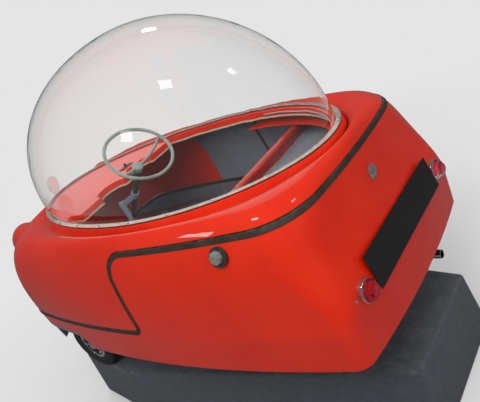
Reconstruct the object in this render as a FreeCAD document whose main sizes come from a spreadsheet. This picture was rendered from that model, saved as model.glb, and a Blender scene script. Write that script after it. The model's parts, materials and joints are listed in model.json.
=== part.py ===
import FreeCAD, Part
import Sketcher
import math
import os
import re
from FreeCAD import Matrix, Placement, Rotation, Vector

# Three-wheel bubble car with a tilting clear canopy, on its display plinth.
# The nose points along -Y, the car's left side is +X and +Z is up. The origin is the
# middle of the plinth's underside. Heights of the car are above the plinth's top.
# All sizes are millimetres, or degrees where the name ends in _angle.

SIZES = (
    # alias, value, what it is
    ("plinth_tall", 250, "plinth height"),
    ("plinth_splay", 14, "how far each plinth side leans out at the floor"),
    ("plinth_front_y", -840, "plinth front edge"),
    ("plinth_waist_y", -420, "station where the plinth is widest"),
    ("plinth_tail_y", 880, "plinth rear edge"),
    ("plinth_front_half", 412, "half width at the plinth's front edge"),
    ("plinth_waist_half", 470, "half width at the plinth's widest station"),
    ("plinth_tail_half", 240, "half width at the plinth's rear edge"),
    ("body_long", 1818, "body shell length"),
    ("body_wide", 1067, "body shell width"),
    ("skin", 6, "moulding thickness"),
    ("hem_high", 216, "lower edge of the skirt"),
    ("apron_high", 168, "lower edge of the front apron"),
    ("well_high", 276, "underside of the ledge over the front wheels"),
    ("floor_high", 200, "underside of the floor pan"),
    ("crease_high", 350, "crease above the skirt"),
    ("rim_high", 752, "top of the canopy frame"),
    ("nose_bow", 82, "how far the nose bows in plan"),
    ("tail_bow", 30, "how far the tail bows in plan"),
    ("wide_y", 90, "station of the greatest width"),
    ("rim_half", 392, "half width of the bubble at its foot"),
    ("rim_nose_y", -808, "front of the bubble's foot"),
    ("rim_tail_y", 782, "rear of the bubble's foot"),
    ("collar_out", 20, "frame's top edge outside the bubble's foot"),
    ("collar_flare", 7, "how much wider the collar is at its foot"),
    ("belt_high", 488, "level of the belt outline"),
    ("shoulder_high", 626, "level of the shoulder outline"),
    ("brow_high", 695, "level of the brow outline"),
    ("collar_tall", 26, "height of the collar under the bubble"),
    ("seam_y", 70, "station of the upright seam"),
    ("seam_low", 372, "height of the front seam"),
    ("seam_high", 695, "height of the rear seam"),
    ("seam_round_low", 34, "rounding of the canopy's lower rear corner"),
    ("seam_round_high", 95, "rounding of the tub's upper front corner"),
    ("seam_gap", 18, "width of the seam between canopy and tub"),
    ("seat_gap", 0.3, "clearance of a piece laid on its seat"),
    ("open_gap", 5, "clearance beside moving pieces"),
    ("tub_flange", 40, "inward flange along the tub's top edge"),
    ("lip_tall", 26, "downturned lip round the canopy's opening"),
    ("ledge_in", 16, "canopy opening inside the bubble's foot"),
    ("shelf_y", -280, "rear edge of the canopy's front shelf"),
    ("scoop_x", 96, "sideways place of each scoop in the shelf"),
    ("scoop_round", 72, "radius of each scoop"),
    ("bay_x", 292, "inner edge of the side bays beside the shelf"),
    ("bay_y", -350, "front of the side bays"),
    ("piping_wide", 9, "edge piping width"),
    ("piping_tall", 8, "edge piping height"),
    ("bubble_tall", 572, "bubble height above the frame"),
    ("bubble_bulge", 34, "height of the bubble's widest level above the frame"),
    ("bubble_thick", 5, "bubble thickness"),
    ("flange_thick", 4, "bubble's flange thickness"),
    ("strip_wide", 17, "trim strip width"),
    ("strip_thick", 3, "trim strip thickness"),
    ("wheel_base", 1270, "distance from front to rear axle"),
    ("front_axle_y", -606, "front axle station"),
    ("track_half", 420, "half of the front track"),
    ("king_half", 350, "kingpin distance from the middle"),
    ("tyre_round", 264, "tyre diameter"),
    ("tyre_wide", 78, "tyre width"),
    ("rim_round", 134, "wheel rim diameter at the bead seat"),
    ("rim_wide", 60, "wheel rim width"),
    ("rim_thick", 5, "wheel rim wall"),
    ("disc_thick", 4, "wheel disc thickness"),
    ("vent_round", 18, "diameter of each hole in the wheel disc"),
    ("vent_count", 8, "holes in the wheel disc"),
    ("hub_round", 46, "wheel hub diameter"),
    ("hub_wide", 52, "wheel hub length"),
    ("hub_cap", 6, "closed end of a front hub"),
    ("disc_out", 6, "wheel disc's distance outwards from the wheel's middle"),
    ("bead_high", 16, "height of the tyre's bead over the rim"),
    ("bead_in", 4, "bead seat's distance inside the rim's edge"),
    ("tread_round", 16, "height of the tyre's shoulder"),
    ("tread_in", 12, "tread's edge inside the tyre's side"),
    ("tread_crown", 6, "height of the tread's crown"),
    ("flange_high", 9, "rim flange height over the bead seat"),
    ("flange_lip", 3, "rim flange thickness"),
    ("axle_round", 18, "stub axle diameter"),
    ("bore_gap", 0.3, "running clearance of a bore round its shaft"),
    ("foot_gap", 0.3, "tyre above the plinth"),
    ("beam_round", 36, "front axle tube diameter"),
    ("yoke_tall", 134, "height of the kingpin yoke over its lugs"),
    ("lug_thick", 12, "kingpin lug thickness"),
    ("lug_round", 36, "kingpin lug diameter"),
    ("kingpin_round", 14, "kingpin diameter"),
    ("knuckle_round", 30, "knuckle barrel diameter"),
    ("lug_wide", 30, "kingpin lug width"),
    ("lug_reach", 12, "space between the kingpin lug's round end and its post"),
    ("post_thick", 12, "thickness of the yoke's upright"),
    ("end_play", 1, "space above and below the knuckle barrel"),
    ("arm_drop", 46, "steering arm's underside below the stub axle"),
    ("arm_thick", 10, "steering arm thickness"),
    ("arm_wide", 14, "steering arm width"),
    ("hanger_x", 180, "axle hanger distance from the middle"),
    ("hanger_wide", 40, "axle hanger width"),
    ("steer_arm", 92, "length of each steering arm"),
    ("arch_front_y", -798, "front edge of the wheel arch"),
    ("arch_rear_y", -410, "rear end of the wheel arch"),
    ("arch_high", 296, "top of the wheel arch"),
    ("arch_round", 62, "rounding of the arch's front corner"),
    ("well_x", 300, "half width of the sunken floor"),
    ("bulkhead_y", 400, "bulkhead behind the seat"),
    ("rail_round", 30, "rail along the bulkhead's top, diameter"),
    ("rail_high", 655, "height of the rail's middle"),
    ("shelf_high", 616, "parcel shelf height"),
    ("seat_front_y", -60, "front of the seat"),
    ("seat_half", 385, "half width of the seat"),
    ("seat_box_high", 300, "top of the seat box"),
    ("seat_overhang", 20, "seat cushion's reach ahead of the seat box"),
    ("seat_rounding", 20, "rounding of the seat's upper edges"),
    ("cushion_thick", 86, "seat cushion thickness"),
    ("back_thick", 78, "seat back thickness"),
    ("back_tall", 300, "seat back height"),
    ("wheel_y", -112, "steering wheel centre, station"),
    ("wheel_high", 842, "steering wheel centre, height"),
    ("wheel_rim_round", 300, "steering wheel diameter"),
    ("wheel_tube", 15, "steering wheel rim thickness"),
    ("wheel_dish", 82, "how deep the steering wheel's hub lies"),
    ("spoke_tube", 13, "steering wheel spoke thickness"),
    ("column_round", 24, "steering column diameter"),
    ("column_long", 640, "steering column length below the hub"),
    ("column_angle", 45, "steering column's lean from the vertical"),
    ("post_x", 86, "post under the column, sideways place"),
    ("post_y", -300, "post under the column, station"),
    ("post_round", 28, "post diameter"),
    ("plate_wide", 520, "number plate width"),
    ("plate_tall", 114, "number plate height"),
    ("plate_thick", 3, "number plate thickness"),
    ("plate_high", 430, "height of the number plate's middle"),
    ("plate_angle", 8, "number plate's lean"),
    ("lamp_x", 306, "tail lamp distance from the middle"),
    ("lamp_high", 408, "tail lamp height"),
    ("lamp_round", 74, "tail lamp diameter"),
    ("headlamp_x", 286, "headlamp distance from the middle"),
    ("headlamp_high", 650, "headlamp height"),
    ("headlamp_round", 150, "headlamp diameter"),
    ("headlamp_y", -887, "front face of the headlamp pod"),
    ("pod_deep", 150, "headlamp pod depth"),
    ("recess_deep", 26, "recess in front of each headlamp"),
    ("glass_round", 260, "diameter of the headlamp glass's ball"),
    ("glass_deep", 28, "headlamp glass's front ahead of the pod"),
    ("ring_deep", 14, "headlamp ring depth"),
    ("ring_wide", 6, "headlamp ring's width inside the lamp's diameter"),
    ("filler_y", 600, "fuel filler station"),
    ("filler_high", 688, "fuel filler height"),
    ("filler_round", 62, "fuel filler base diameter"),
    ("boss_high", 608, "deck boss height"),
    ("boss_round", 44, "deck boss diameter"),
    ("switch_x", -98, "switch on the front shelf, sideways place"),
    ("switch_y", -394, "switch on the front shelf, station"),
    ("switch_wide", 64, "switch plate width"),
    ("switch_long", 36, "switch plate length"),
    ("switch_thick", 3, "switch plate thickness"),
    ("lever_round", 10, "switch lever diameter"),
    ("lever_tall", 16, "switch lever height"),
    ("pedal_y", -566, "back of the pedals, station"),
    ("pedal_wide", 52, "pedal pad width"),
    ("pedal_low", 60, "underside of the pedal pads over the floor"),
    ("pedal_tall", 60, "pedal pad height"),
    ("pedal_thick", 8, "pedal pad thickness"),
    ("pedal_arm", 14, "pedal arm width"),
    ("pedal_left_x", 190, "left pedal, sideways place"),
    ("pedal_right_x", -110, "right pedal, sideways place"),
    ("exhaust_x", -118, "exhaust pipe, sideways place"),
    ("exhaust_high", 190, "exhaust pipe height"),
    ("exhaust_round", 30, "exhaust pipe diameter"),
    ("exhaust_wall", 2.5, "exhaust pipe wall"),
    ("exhaust_deep", 60, "open length of the exhaust pipe"),
    ("exhaust_short", 4, "pipe's end inside the body's length"),
    ("hinge_round", 9, "canopy hinge barrel diameter"),
    ("hinge_wide", 150, "canopy hinge width"),
    ("fork_x", 56, "rear fork arm distance from the middle"),
    ("fork_thick", 12, "rear fork arm thickness"),
    ("fork_deep", 34, "rear fork arm depth"),
    ("pivot_y", 436, "rear fork pivot station"),
    ("pivot_high", 212, "rear fork pivot height"),
    ("pivot_round", 34, "rear fork pivot tube diameter"),
    ("pivot_over", 40, "pivot tube's reach beyond each fork arm"),
    ("bracket_over", 30, "fork bracket's reach beyond each arm"),
    ("bracket_thick", 20, "fork bracket thickness"),
    ("axle_over", 10, "rear axle's reach beyond each fork arm"),
    ("damper_x", 84, "rear damper, sideways place"),
    ("damper_round", 42, "rear damper diameter"),
    ("damper_back", 60, "damper foot's distance behind the middle of the fork"),
    ("damper_foot_wide", 28, "damper foot length along the fork"),
    ("damper_foot_tall", 14, "damper foot thickness"),
    ("engine_wide", 190, "engine block width"),
    ("engine_long", 230, "engine block length"),
    ("engine_tall", 210, "engine block height"),
    ("engine_gap", 44, "engine block's distance from the fork arm"),
    ("engine_lift", 30, "engine block's height over the hem"),
)

doc = FreeCAD.newDocument("BubbleCar")
sheet = doc.addObject("Spreadsheet::Sheet", "Sizes")
for row, (alias, value, meaning) in enumerate(SIZES, start=1):
    sheet.set("A%d" % row, meaning)
    sheet.set("B%d" % row, str(value))
    sheet.setAlias("B%d" % row, alias)
doc.recompute()

# Each alias as a formula writes it
ALIASES = {alias: "Sizes." + alias for alias, value, meaning in SIZES}
WORD = re.compile("[a-z_]+")

nodes = []


def size(alias):
    """The sheet's value for one alias, as a plain number."""
    return float(sheet.get(alias))


def node(label, item):
    """Marks a document object as a sub-part and gives it its file name."""
    item.Label = label
    nodes.append(item)
    return item


def formula(words):
    """A formula on the sheet, from one that names the aliases in plain words."""
    return WORD.sub(lambda found: ALIASES.get(found.group(), found.group()), words)


def bound(kind, name, spot=None, turn=None, **formulas):
    """A document object whose properties and place follow formulas on the sheet."""
    item = doc.addObject(kind, name)
    if turn is not None:
        item.Placement = Placement(Vector(), turn)
    for prop, words in formulas.items():
        item.setExpression(prop, formula(words))
    for axis, words in zip("xyz", spot or ()):
        item.setExpression("Placement.Base." + axis, formula(words))
    return item


def slab(name, along_x, along_y, along_z):
    """A bound box between a low and a high formula along each axis."""
    pairs = (along_x, along_y, along_z)
    length, width, height = ("(%s) - (%s)" % (high, low) for low, high in pairs)
    return bound("Part::Box", name, [low for low, high in pairs],
                 Length=length, Width=width, Height=height)


def bar(name, spot, turn, across, length):
    """A bound round bar from a spot along a turned axis."""
    return bound("Part::Cylinder", name, spot, turn, Radius="(%s) / 2" % across, Height=length)


def both_sides(low, high):
    """A pair of formulas on the left side, and the same pair on the right."""
    return (low, high), ("-(%s)" % high, "-(%s)" % low)


def joined(name, items):
    """A fusion of document objects."""
    fusion = doc.addObject("Part::MultiFuse", name)
    fusion.Shapes = list(items)
    return fusion


def cut(name, base, tool):
    """One document object cut from another."""
    item = doc.addObject("Part::Cut", name)
    item.Base = base
    item.Tool = tool
    return item


def turned(name, profile, spot):
    """A solid turned about a wheel's axle, from rows of radius and sideways place."""
    sketch = doc.addObject("Sketcher::SketchObject", name + "Profile")
    sketch.Placement = Placement(Vector(), Rotation(Vector(1, 0, 0), 90))
    count = len(profile)
    starts = [Vector(100 * math.cos(2 * math.pi * index / count),
                     300 + 100 * math.sin(2 * math.pi * index / count), 0)
              for index in range(count)]
    for index in range(count):
        end = starts[(index + 1) % count]
        sketch.addGeometry(Part.LineSegment(starts[index], end), False)
    for index in range(count):
        after = (index + 1) % count
        sketch.addConstraint(Sketcher.Constraint("Coincident", index, 2, after, 1))
    for index, (radius, sideways) in enumerate(profile):
        for kind, place, words in (("DistanceX", starts[index].x, sideways),
                                   ("DistanceY", starts[index].y, radius)):
            number = sketch.addConstraint(Sketcher.Constraint(kind, -1, 1, index, 1, place))
            sketch.setExpression("Constraints[%d]" % number, formula(words))
    ring = doc.addObject("Part::Revolution", name)
    ring.Source = sketch
    ring.Axis = (1, 0, 0)
    ring.Angle = 360
    ring.Solid = True
    for axis, words in zip("xyz", spot):
        sketch.setExpression("Placement.Base." + axis, formula(words))
        ring.setExpression("Base." + axis, formula(words))
    return ring


def rounded(name, item, radius, level):
    """A solid with the edges above one level rounded."""
    doc.recompute()
    edges = enumerate(item.Shape.Edges, start=1)
    fillet = doc.addObject("Part::Fillet", name)
    fillet.Base = item
    fillet.Edges = [(number, radius, radius) for number, edge in edges
                    if edge.BoundBox.ZMin > level]
    return fillet


def left_and_right(label, item):
    """A sub-part made of an object and its mirror image on the car's other side."""
    twin = doc.addObject("Part::Mirroring", item.Name + "Twin")
    twin.Source = item
    twin.Normal = (1, 0, 0)
    pair = doc.addObject("Part::Compound", item.Name + "Pair")
    pair.Links = [item, twin]
    return node(label, pair)


def feature(label, shape):
    """A sub-part whose shape comes from Part's own functions."""
    item = doc.addObject("Part::Feature", label)
    item.Shape = shape
    return node(label, item)


def block(x0, x1, y0, y1, z0, z1):
    """A box between two corners."""
    return Part.makeBox(x1 - x0, y1 - y0, z1 - z0, Vector(x0, y0, z0))


def rod(start, end, diameter):
    """A round bar between two points."""
    return Part.makeCylinder(diameter / 2, (end - start).Length, start, end - start)


def hit(solid, start, direction):
    """Where a straight line from outside first meets a solid."""
    line = Part.makeLine(start, start + direction * 3000)
    spots = [vertex.Point for vertex in solid.common(line).Vertexes]
    return min(spots, key=lambda spot: (spot - start).Length)


def mirrored(shape):
    """The same shape on the car's other side."""
    return shape.mirror(Vector(), Vector(1, 0, 0))


# Level of the plinth's top, where the wheels stand

ROAD = size("plinth_tall")
ALONG_X = Rotation(Vector(0, 1, 0), 90)
ALONG_Y = Rotation(Vector(1, 0, 0), -90)
AXLE_HIGH = ROAD + size("foot_gap") + size("tyre_round") / 2
AXLE_LEVEL = "plinth_tall + foot_gap + tyre_round / 2"
FLOOR_LEVEL = "plinth_tall + floor_high + skin"
REAR_AXLE_Y = size("front_axle_y") + size("wheel_base")
HALF_LONG = size("body_long") / 2
HALF_WIDE = size("body_wide") / 2
SKIN = size("skin")

# Plan outlines of the body

# Each row: height above the plinth, then how far the outline lies inside the longest and
# widest outline at the nose, the front corner, the side, the rear corner and the tail,
# then the rounding of the front and of the rear corner.
APRON = (size("apron_high"), 16, 58, 8, 112, 10, 120, 60)
CREASE = (size("crease_high"), 0, 48, 0, 104, 0, 125, 60)
BELT = (size("belt_high"), 2, 42, 5, 108, 22, 150, 95)
SHOULDER = (size("shoulder_high"), 22, 55, 24, 122, 50, 190, 150)
BROW = (size("brow_high"), 50, 85, 42, 150, 58, 220, 190)


def arc_on(centre, radius, start, end):
    """The short arc of a circle between two of its points."""
    middle = centre + ((start - centre) + (end - centre)).normalize() * radius
    return Part.Arc(start, middle, end).toShape()


def circle_through(first, second, third):
    """Centre and radius of the circle through three points."""
    circle = Part.Circle(first, second, third)
    return circle.Center, circle.Radius


def rounding(circle_a, circle_b, radius, corner):
    """Where a rounding between two arcs touches each of them, and its centre."""
    centre_a, radius_a = circle_a
    centre_b, radius_b = circle_b
    reach_a = radius_a - radius
    reach_b = radius_b - radius
    span = centre_b - centre_a
    along = (reach_a ** 2 - reach_b ** 2 + span.Length ** 2) / (2 * span.Length)
    across = math.sqrt(reach_a ** 2 - along ** 2)
    unit = span.normalize()
    side = Vector(-unit.y, unit.x, 0) * across
    foot = centre_a + unit * along
    hub = min((foot + side, foot - side), key=lambda point: (point - corner).Length)
    touch_a = centre_a + (hub - centre_a).normalize() * radius_a
    touch_b = centre_b + (hub - centre_b).normalize() * radius_b
    return touch_a, touch_b, hub


def body_outline(row, inset=0.0, drop=0.0):
    """One plan outline of the body: ten tangent arcs, from the nose round by the left."""
    height, nose_in, front_in, side_in, rear_in, tail_in, front_round, rear_round = row
    level = ROAD + height - drop
    nose = Vector(0, -HALF_LONG + nose_in, level)
    tail = Vector(0, HALF_LONG - tail_in, level)
    front = Vector(HALF_WIDE - front_in, nose.y + size("nose_bow"), level)
    rear = Vector(HALF_WIDE - rear_in, tail.y - size("tail_bow"), level)
    widest = Vector(HALF_WIDE - side_in, size("wide_y"), level)
    nose_circle = circle_through(Vector(-front.x, front.y, level), nose, front)
    side_circle = circle_through(front, widest, rear)
    tail_circle = circle_through(rear, tail, Vector(-rear.x, rear.y, level))
    nose_end, side_start, front_hub = rounding(nose_circle, side_circle, front_round, front)
    side_end, tail_start, rear_hub = rounding(side_circle, tail_circle, rear_round, rear)

    def drawn(circle, start, end):
        centre, radius = circle
        shrink = (radius - inset) / radius
        return arc_on(centre, radius - inset, centre + (start - centre) * shrink,
                      centre + (end - centre) * shrink)

    def flipped(circle):
        return Vector(-circle[0].x, circle[0].y, level), circle[1]

    def across(point):
        return Vector(-point.x, point.y, level)

    halves = (
        ((front_hub, front_round), nose_end, side_start),
        (side_circle, side_start, widest),
        (side_circle, widest, side_end),
        ((rear_hub, rear_round), side_end, tail_start),
    )
    edges = [drawn(nose_circle, across(nose_end), nose_end)]
    edges += [drawn(*half) for half in halves]
    edges.append(drawn(tail_circle, tail_start, across(tail_start)))
    edges += [drawn(flipped(circle), across(end), across(start))
              for circle, start, end in reversed(halves)]
    return Part.Wire(edges)


# Angles that split the egg-shaped outline into as many arcs as the body's outline has
EGG_SPLITS = (32, 58, 90)


def egg_outline(height, margin):
    """Two half ellipses round the bubble's foot, grown by a margin, in ten arcs."""
    level = ROAD + height
    half = size("rim_half") + margin
    middle = Vector(0, size("wide_y"), level)
    near, wide, side = EGG_SPLITS
    spans = ((-near, near), (near, wide), (wide, side), (-side, -wide), (-wide, -near),
             (-near, near), (near, wide), (wide, side), (-side, -wide), (-wide, -near))
    ends = (
        (Vector(0, size("rim_nose_y") - margin, level), Vector(half, middle.y, level)),
        (Vector(0, size("rim_tail_y") + margin, level), Vector(-half, middle.y, level)),
    )
    edges = []
    for index, (start, end) in enumerate(spans):
        tip, flank = ends[1 if 3 <= index <= 7 else 0]
        ellipse = Part.Ellipse(tip, flank, middle)
        arc = Part.ArcOfEllipse(ellipse, math.radians(start), math.radians(end))
        edges.append(arc.toShape())
    return Part.Wire(edges)


def egg_block(margin, low, high):
    """An upright block with the egg-shaped outline."""
    face = Part.Face(egg_outline(low, margin))
    return face.extrude(Vector(0, 0, high - low))


def body_block(row, inset, low, high):
    """An upright block with one of the body's outlines."""
    face = Part.Face(body_outline((low,) + tuple(row[1:]), inset))
    return face.extrude(Vector(0, 0, high - low))


def body_solid(grow):
    """The body filled in, its surface moved out by grow, or in where grow is negative."""
    rim = size("rim_high")
    foot = rim - size("collar_tall")
    sunk = max(0.0, -grow)
    lower_rows = (APRON, CREASE)
    upper_rows = (CREASE, BELT, SHOULDER, BROW)
    collar = size("collar_out") + grow
    below = 2 if sunk else 0
    drops = (below, sunk)
    outlines = [body_outline(row, -grow, drop) for row, drop in zip(lower_rows, drops)]
    lower = Part.makeLoft(outlines, True, True)
    outlines = [body_outline(row, -grow, sunk) for row in upper_rows]
    foot_outline = egg_outline(foot - sunk, collar + size("collar_flare"))
    upper = Part.makeLoft(outlines + [foot_outline], True, False)
    top = Part.makeLoft([foot_outline, egg_outline(rim - sunk, collar)], True, True)
    return lower.fuse(upper).fuse(top)


def side_region(grow):
    """The canopy's share of the body in side view, grown by a margin, as a wide block."""
    low = ROAD + size("seam_low") - grow
    high = ROAD + size("seam_high") - grow
    seam = size("seam_y") + grow
    small = size("seam_round_low") + grow
    large = size("seam_round_high") - grow
    slant = math.sqrt(0.5)
    front, rear, top = -HALF_LONG - 200, HALF_LONG + 200, ROAD + size("rim_high") + 200
    points = {
        "start": (front, low),
        "low": (seam - small, low),
        "low_mid": (seam - small + small * slant, low + small - small * slant),
        "low_up": (seam, low + small),
        "high_up": (seam, high - large),
        "high_mid": (seam + large - large * slant, high - large + large * slant),
        "high": (seam + large, high),
        "rear": (rear, high),
        "rear_top": (rear, top),
        "front_top": (front, top),
    }
    left = -HALF_WIDE - 100
    at = {name: Vector(left, y, z) for name, (y, z) in points.items()}
    edges = [
        Part.LineSegment(at["start"], at["low"]).toShape(),
        Part.Arc(at["low"], at["low_mid"], at["low_up"]).toShape(),
        Part.LineSegment(at["low_up"], at["high_up"]).toShape(),
        Part.Arc(at["high_up"], at["high_mid"], at["high"]).toShape(),
        Part.LineSegment(at["high"], at["rear"]).toShape(),
        Part.LineSegment(at["rear"], at["rear_top"]).toShape(),
        Part.LineSegment(at["rear_top"], at["front_top"]).toShape(),
        Part.LineSegment(at["front_top"], at["start"]).toShape(),
    ]
    return Part.Face(Part.Wire(edges)).extrude(Vector(-2 * left, 0, 0))


def opening_block(grow, low, high):
    """The canopy's opening as an upright block: the egg outline behind a scalloped shelf."""
    egg = egg_block(-size("ledge_in") + grow, low, high)
    base = ROAD + low
    tall = high - low
    rear = HALF_LONG
    room = block(-HALF_WIDE, HALF_WIDE, size("shelf_y") - grow, rear, base, base + tall)
    for side in (-1, 1):
        spot = Vector(side * size("scoop_x"), size("shelf_y"), base)
        room = room.fuse(Part.makeCylinder(size("scoop_round") + grow, tall, spot))
        inner = side * (size("bay_x") - grow)
        outer = side * HALF_WIDE
        bay = block(min(inner, outer), max(inner, outer), size("bay_y") - grow, rear,
                    base, base + tall)
        room = room.fuse(bay)
    return egg.common(room).removeSplitter()


# Plinth

def plinth_outline(level, grow):
    """The plinth's eight-cornered outline at one level."""
    left = (
        (size("plinth_front_half") + grow, size("plinth_front_y") - grow),
        (size("plinth_waist_half") + grow, size("plinth_waist_y")),
        (size("plinth_tail_half") + grow, size("plinth_tail_y") + grow),
    )
    points = [Vector(x, y, level) for x, y in left]
    points += [Vector(-x, y, level) for x, y in reversed(left)]
    return Part.makePolygon(points + points[:1])


def make_plinth():
    """The carpeted plinth: a low block with sides that splay towards the floor."""
    outlines = [plinth_outline(0, size("plinth_splay")), plinth_outline(ROAD, 0)]
    feature("plinth", Part.makeLoft(outlines, True, True))


# Body shell, tub and canopy frame

BODY = (body_solid(0), body_solid(-SKIN))

def arch_block():
    """The front wheel arches as one wide block, seen from the side."""
    low = ROAD + size("apron_high") - 20
    high = ROAD + size("arch_high")
    front, rear, bend = size("arch_front_y"), size("arch_rear_y"), size("arch_round")
    slant = math.sqrt(0.5)
    left = -HALF_WIDE - 100
    corner = Vector(left, front + bend, high - bend)
    start = Vector(left, front, low)
    up = Vector(left, front, high - bend)
    bent = corner + Vector(0, -bend * slant, bend * slant)
    over = Vector(left, front + bend, high)
    crest = Vector(left, size("front_axle_y") + bend, high)
    hem = ROAD + size("hem_high")
    fall = Vector(left, (crest.y + rear) / 2 + bend / 2, (high + hem) / 2 + bend / 3)
    end = Vector(left, rear, ROAD + size("hem_high") - 1)
    foot = Vector(left, rear, low)
    edges = [
        Part.LineSegment(start, up).toShape(),
        Part.Arc(up, bent, over).toShape(),
        Part.LineSegment(over, crest).toShape(),
        Part.Arc(crest, fall, end).toShape(),
        Part.LineSegment(end, foot).toShape(),
        Part.LineSegment(foot, start).toShape(),
    ]
    return Part.Face(Part.Wire(edges)).extrude(Vector(-2 * left, 0, 0))


def headlamp_spot(y):
    """The middle of the left headlamp at one station."""
    return Vector(size("headlamp_x"), y, ROAD + size("headlamp_high"))


def make_shells():
    """The tub and the canopy frame, cut from one body shell along the seam, and the seal."""
    outer, inner = BODY
    shell = outer.cut(inner)
    half_gap = size("seam_gap") / 2
    tub_side = side_region(half_gap)
    canopy_side = side_region(-half_gap)

    under = block(-HALF_WIDE, HALF_WIDE, size("arch_front_y") + 20, HALF_LONG,
                  ROAD + size("apron_high") - 20, ROAD + size("hem_high"))
    tub = shell.cut(tub_side).cut(arch_block()).cut(under)
    flange_top = size("seam_high") - half_gap
    flange_row = BROW
    ring = body_block(flange_row, SKIN / 2, flange_top - SKIN, flange_top)
    opening = egg_block(size("collar_out") - size("tub_flange"), flange_top - 60, flange_top + 60)
    ring = ring.common(outer).cut(opening)
    tub = tub.fuse(ring.cut(side_region(half_gap + SKIN / 2))).removeSplitter()
    feature("tub", tub)

    rim = size("rim_high")
    front = size("headlamp_y")
    lamp = size("headlamp_round") / 2
    rearward = Vector(0, 1, 0)
    pod = Part.makeCylinder(lamp + SKIN, size("pod_deep"), headlamp_spot(front), rearward)
    recess = Part.makeCylinder(lamp, size("recess_deep"), headlamp_spot(front - 1), rearward)
    frame = outer.fuse([pod, mirrored(pod)]).cut(inner).common(canopy_side)
    frame = frame.cut([recess, mirrored(recess)])
    lip = opening_block(SKIN, rim - size("lip_tall"), rim - SKIN / 2)
    frame = frame.fuse(lip).cut(opening_block(0, rim - 90, rim + 40))
    feature("canopy_frame", frame.removeSplitter())

    piping_top = rim - size("lip_tall") - size("seat_gap")
    over = (size("piping_wide") - SKIN) / 2
    piping = opening_block(SKIN + over, piping_top - size("piping_tall"), piping_top)
    piping = piping.cut(opening_block(-over, piping_top - size("piping_tall") - 5, piping_top + 5))
    feature("shelf_piping", piping)

    seal_end = size("open_gap") - half_gap
    band = side_region(half_gap - size("seat_gap")).cut(side_region(seal_end))
    feature("seam_seal", shell.common(band))


# Bubble

def egg_dome(shrink):
    """The bubble's filled form: two half ellipsoids that meet at the greatest width."""
    middle = Vector(0, size("wide_y"), ROAD + size("rim_high") + size("bubble_bulge"))
    tall = size("bubble_tall") - size("bubble_bulge") - shrink
    half = size("rim_half") - shrink
    halves = []
    for end, turn in ((size("rim_nose_y"), 180), (size("rim_tail_y"), 0)):
        ball = Part.makeSphere(1, Vector(), Vector(0, 0, 1), -90, 90, 180)
        ball.rotate(Vector(), Vector(0, 0, 1), turn)
        matrix = Matrix()
        matrix.scale(half, abs(end - middle.y) - shrink, tall)
        matrix.move(middle)
        halves.append(ball.transformGeometry(matrix))
    return halves[0].fuse(halves[1])


def make_bubble():
    """The clear bubble with its flange, and the trim strip that clamps the flange."""
    rim = size("rim_high")
    thick = size("bubble_thick")
    flange_top = rim + size("flange_thick")
    above = block(-HALF_WIDE, HALF_WIDE, -HALF_LONG, HALF_LONG, ROAD + rim, ROAD + 2 * rim)
    shell = egg_dome(0).cut(egg_dome(thick)).common(above)
    margin = size("collar_out") - 2
    flange = egg_block(margin, rim, flange_top).cut(egg_block(-thick / 2, rim - 1, flange_top + 1))
    feature("bubble", shell.fuse(flange))
    strip_top = flange_top + size("strip_thick")
    strip = egg_block(margin, flange_top, strip_top)
    strip = strip.cut(egg_block(margin - size("strip_wide"), flange_top - 1, strip_top + 1))
    feature("rim_strip", strip)


# Headlamps

def make_headlamps():
    """Chrome rings and glasses of both headlamps."""
    radius = size("headlamp_round") / 2
    deep = size("ring_deep")
    rearward = Vector(0, 1, 0)
    front = size("headlamp_y") - size("seat_gap")
    inner = radius - size("ring_wide")
    ring = Part.makeCylinder(radius + SKIN, deep, headlamp_spot(front - deep), rearward)
    ring = ring.cut(Part.makeCylinder(inner, 3 * deep, headlamp_spot(front - 2 * deep), rearward))
    outer_edges = [edge for edge in ring.Edges if edge.BoundBox.YMax < front - deep + 1]
    ring = ring.makeChamfer(size("ring_wide") / 2, outer_edges)
    feature("headlamp_rings", Part.makeCompound([ring, mirrored(ring)]))
    glass_deep = size("glass_deep")
    ball_radius = size("glass_round") / 2
    ball = Part.makeSphere(ball_radius, headlamp_spot(front - glass_deep + 2 + ball_radius))
    tube = Part.makeCylinder(inner - 0.5, glass_deep - 2, headlamp_spot(front - glass_deep), rearward)
    glass = ball.common(tube)
    feature("headlamp_glasses", Part.makeCompound([glass, mirrored(glass)]))


# Canopy fittings

def make_canopy_fittings():
    """The switch on the shelf."""
    rim = "plinth_tall + rim_high"
    plate = slab("SwitchPlate",
                 ("switch_x - switch_wide / 2", "switch_x + switch_wide / 2"),
                 ("switch_y - switch_long / 2", "switch_y + switch_long / 2"),
                 (rim, rim + " + switch_thick"))
    lever = bar("SwitchLever", ("switch_x", "switch_y", rim + " + switch_thick"), None,
                "lever_round", "lever_tall")
    node("shelf_switch", joined("ShelfSwitch", [plate, lever]))


# Hinge of the canopy

def hinge_axis():
    """A point on the canopy's hinge line."""
    barrel = size("hinge_round")
    return Vector(0, -HALF_LONG - barrel / 2 - 1, ROAD + size("seam_low") + size("seam_gap") / 2 - 2)


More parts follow.
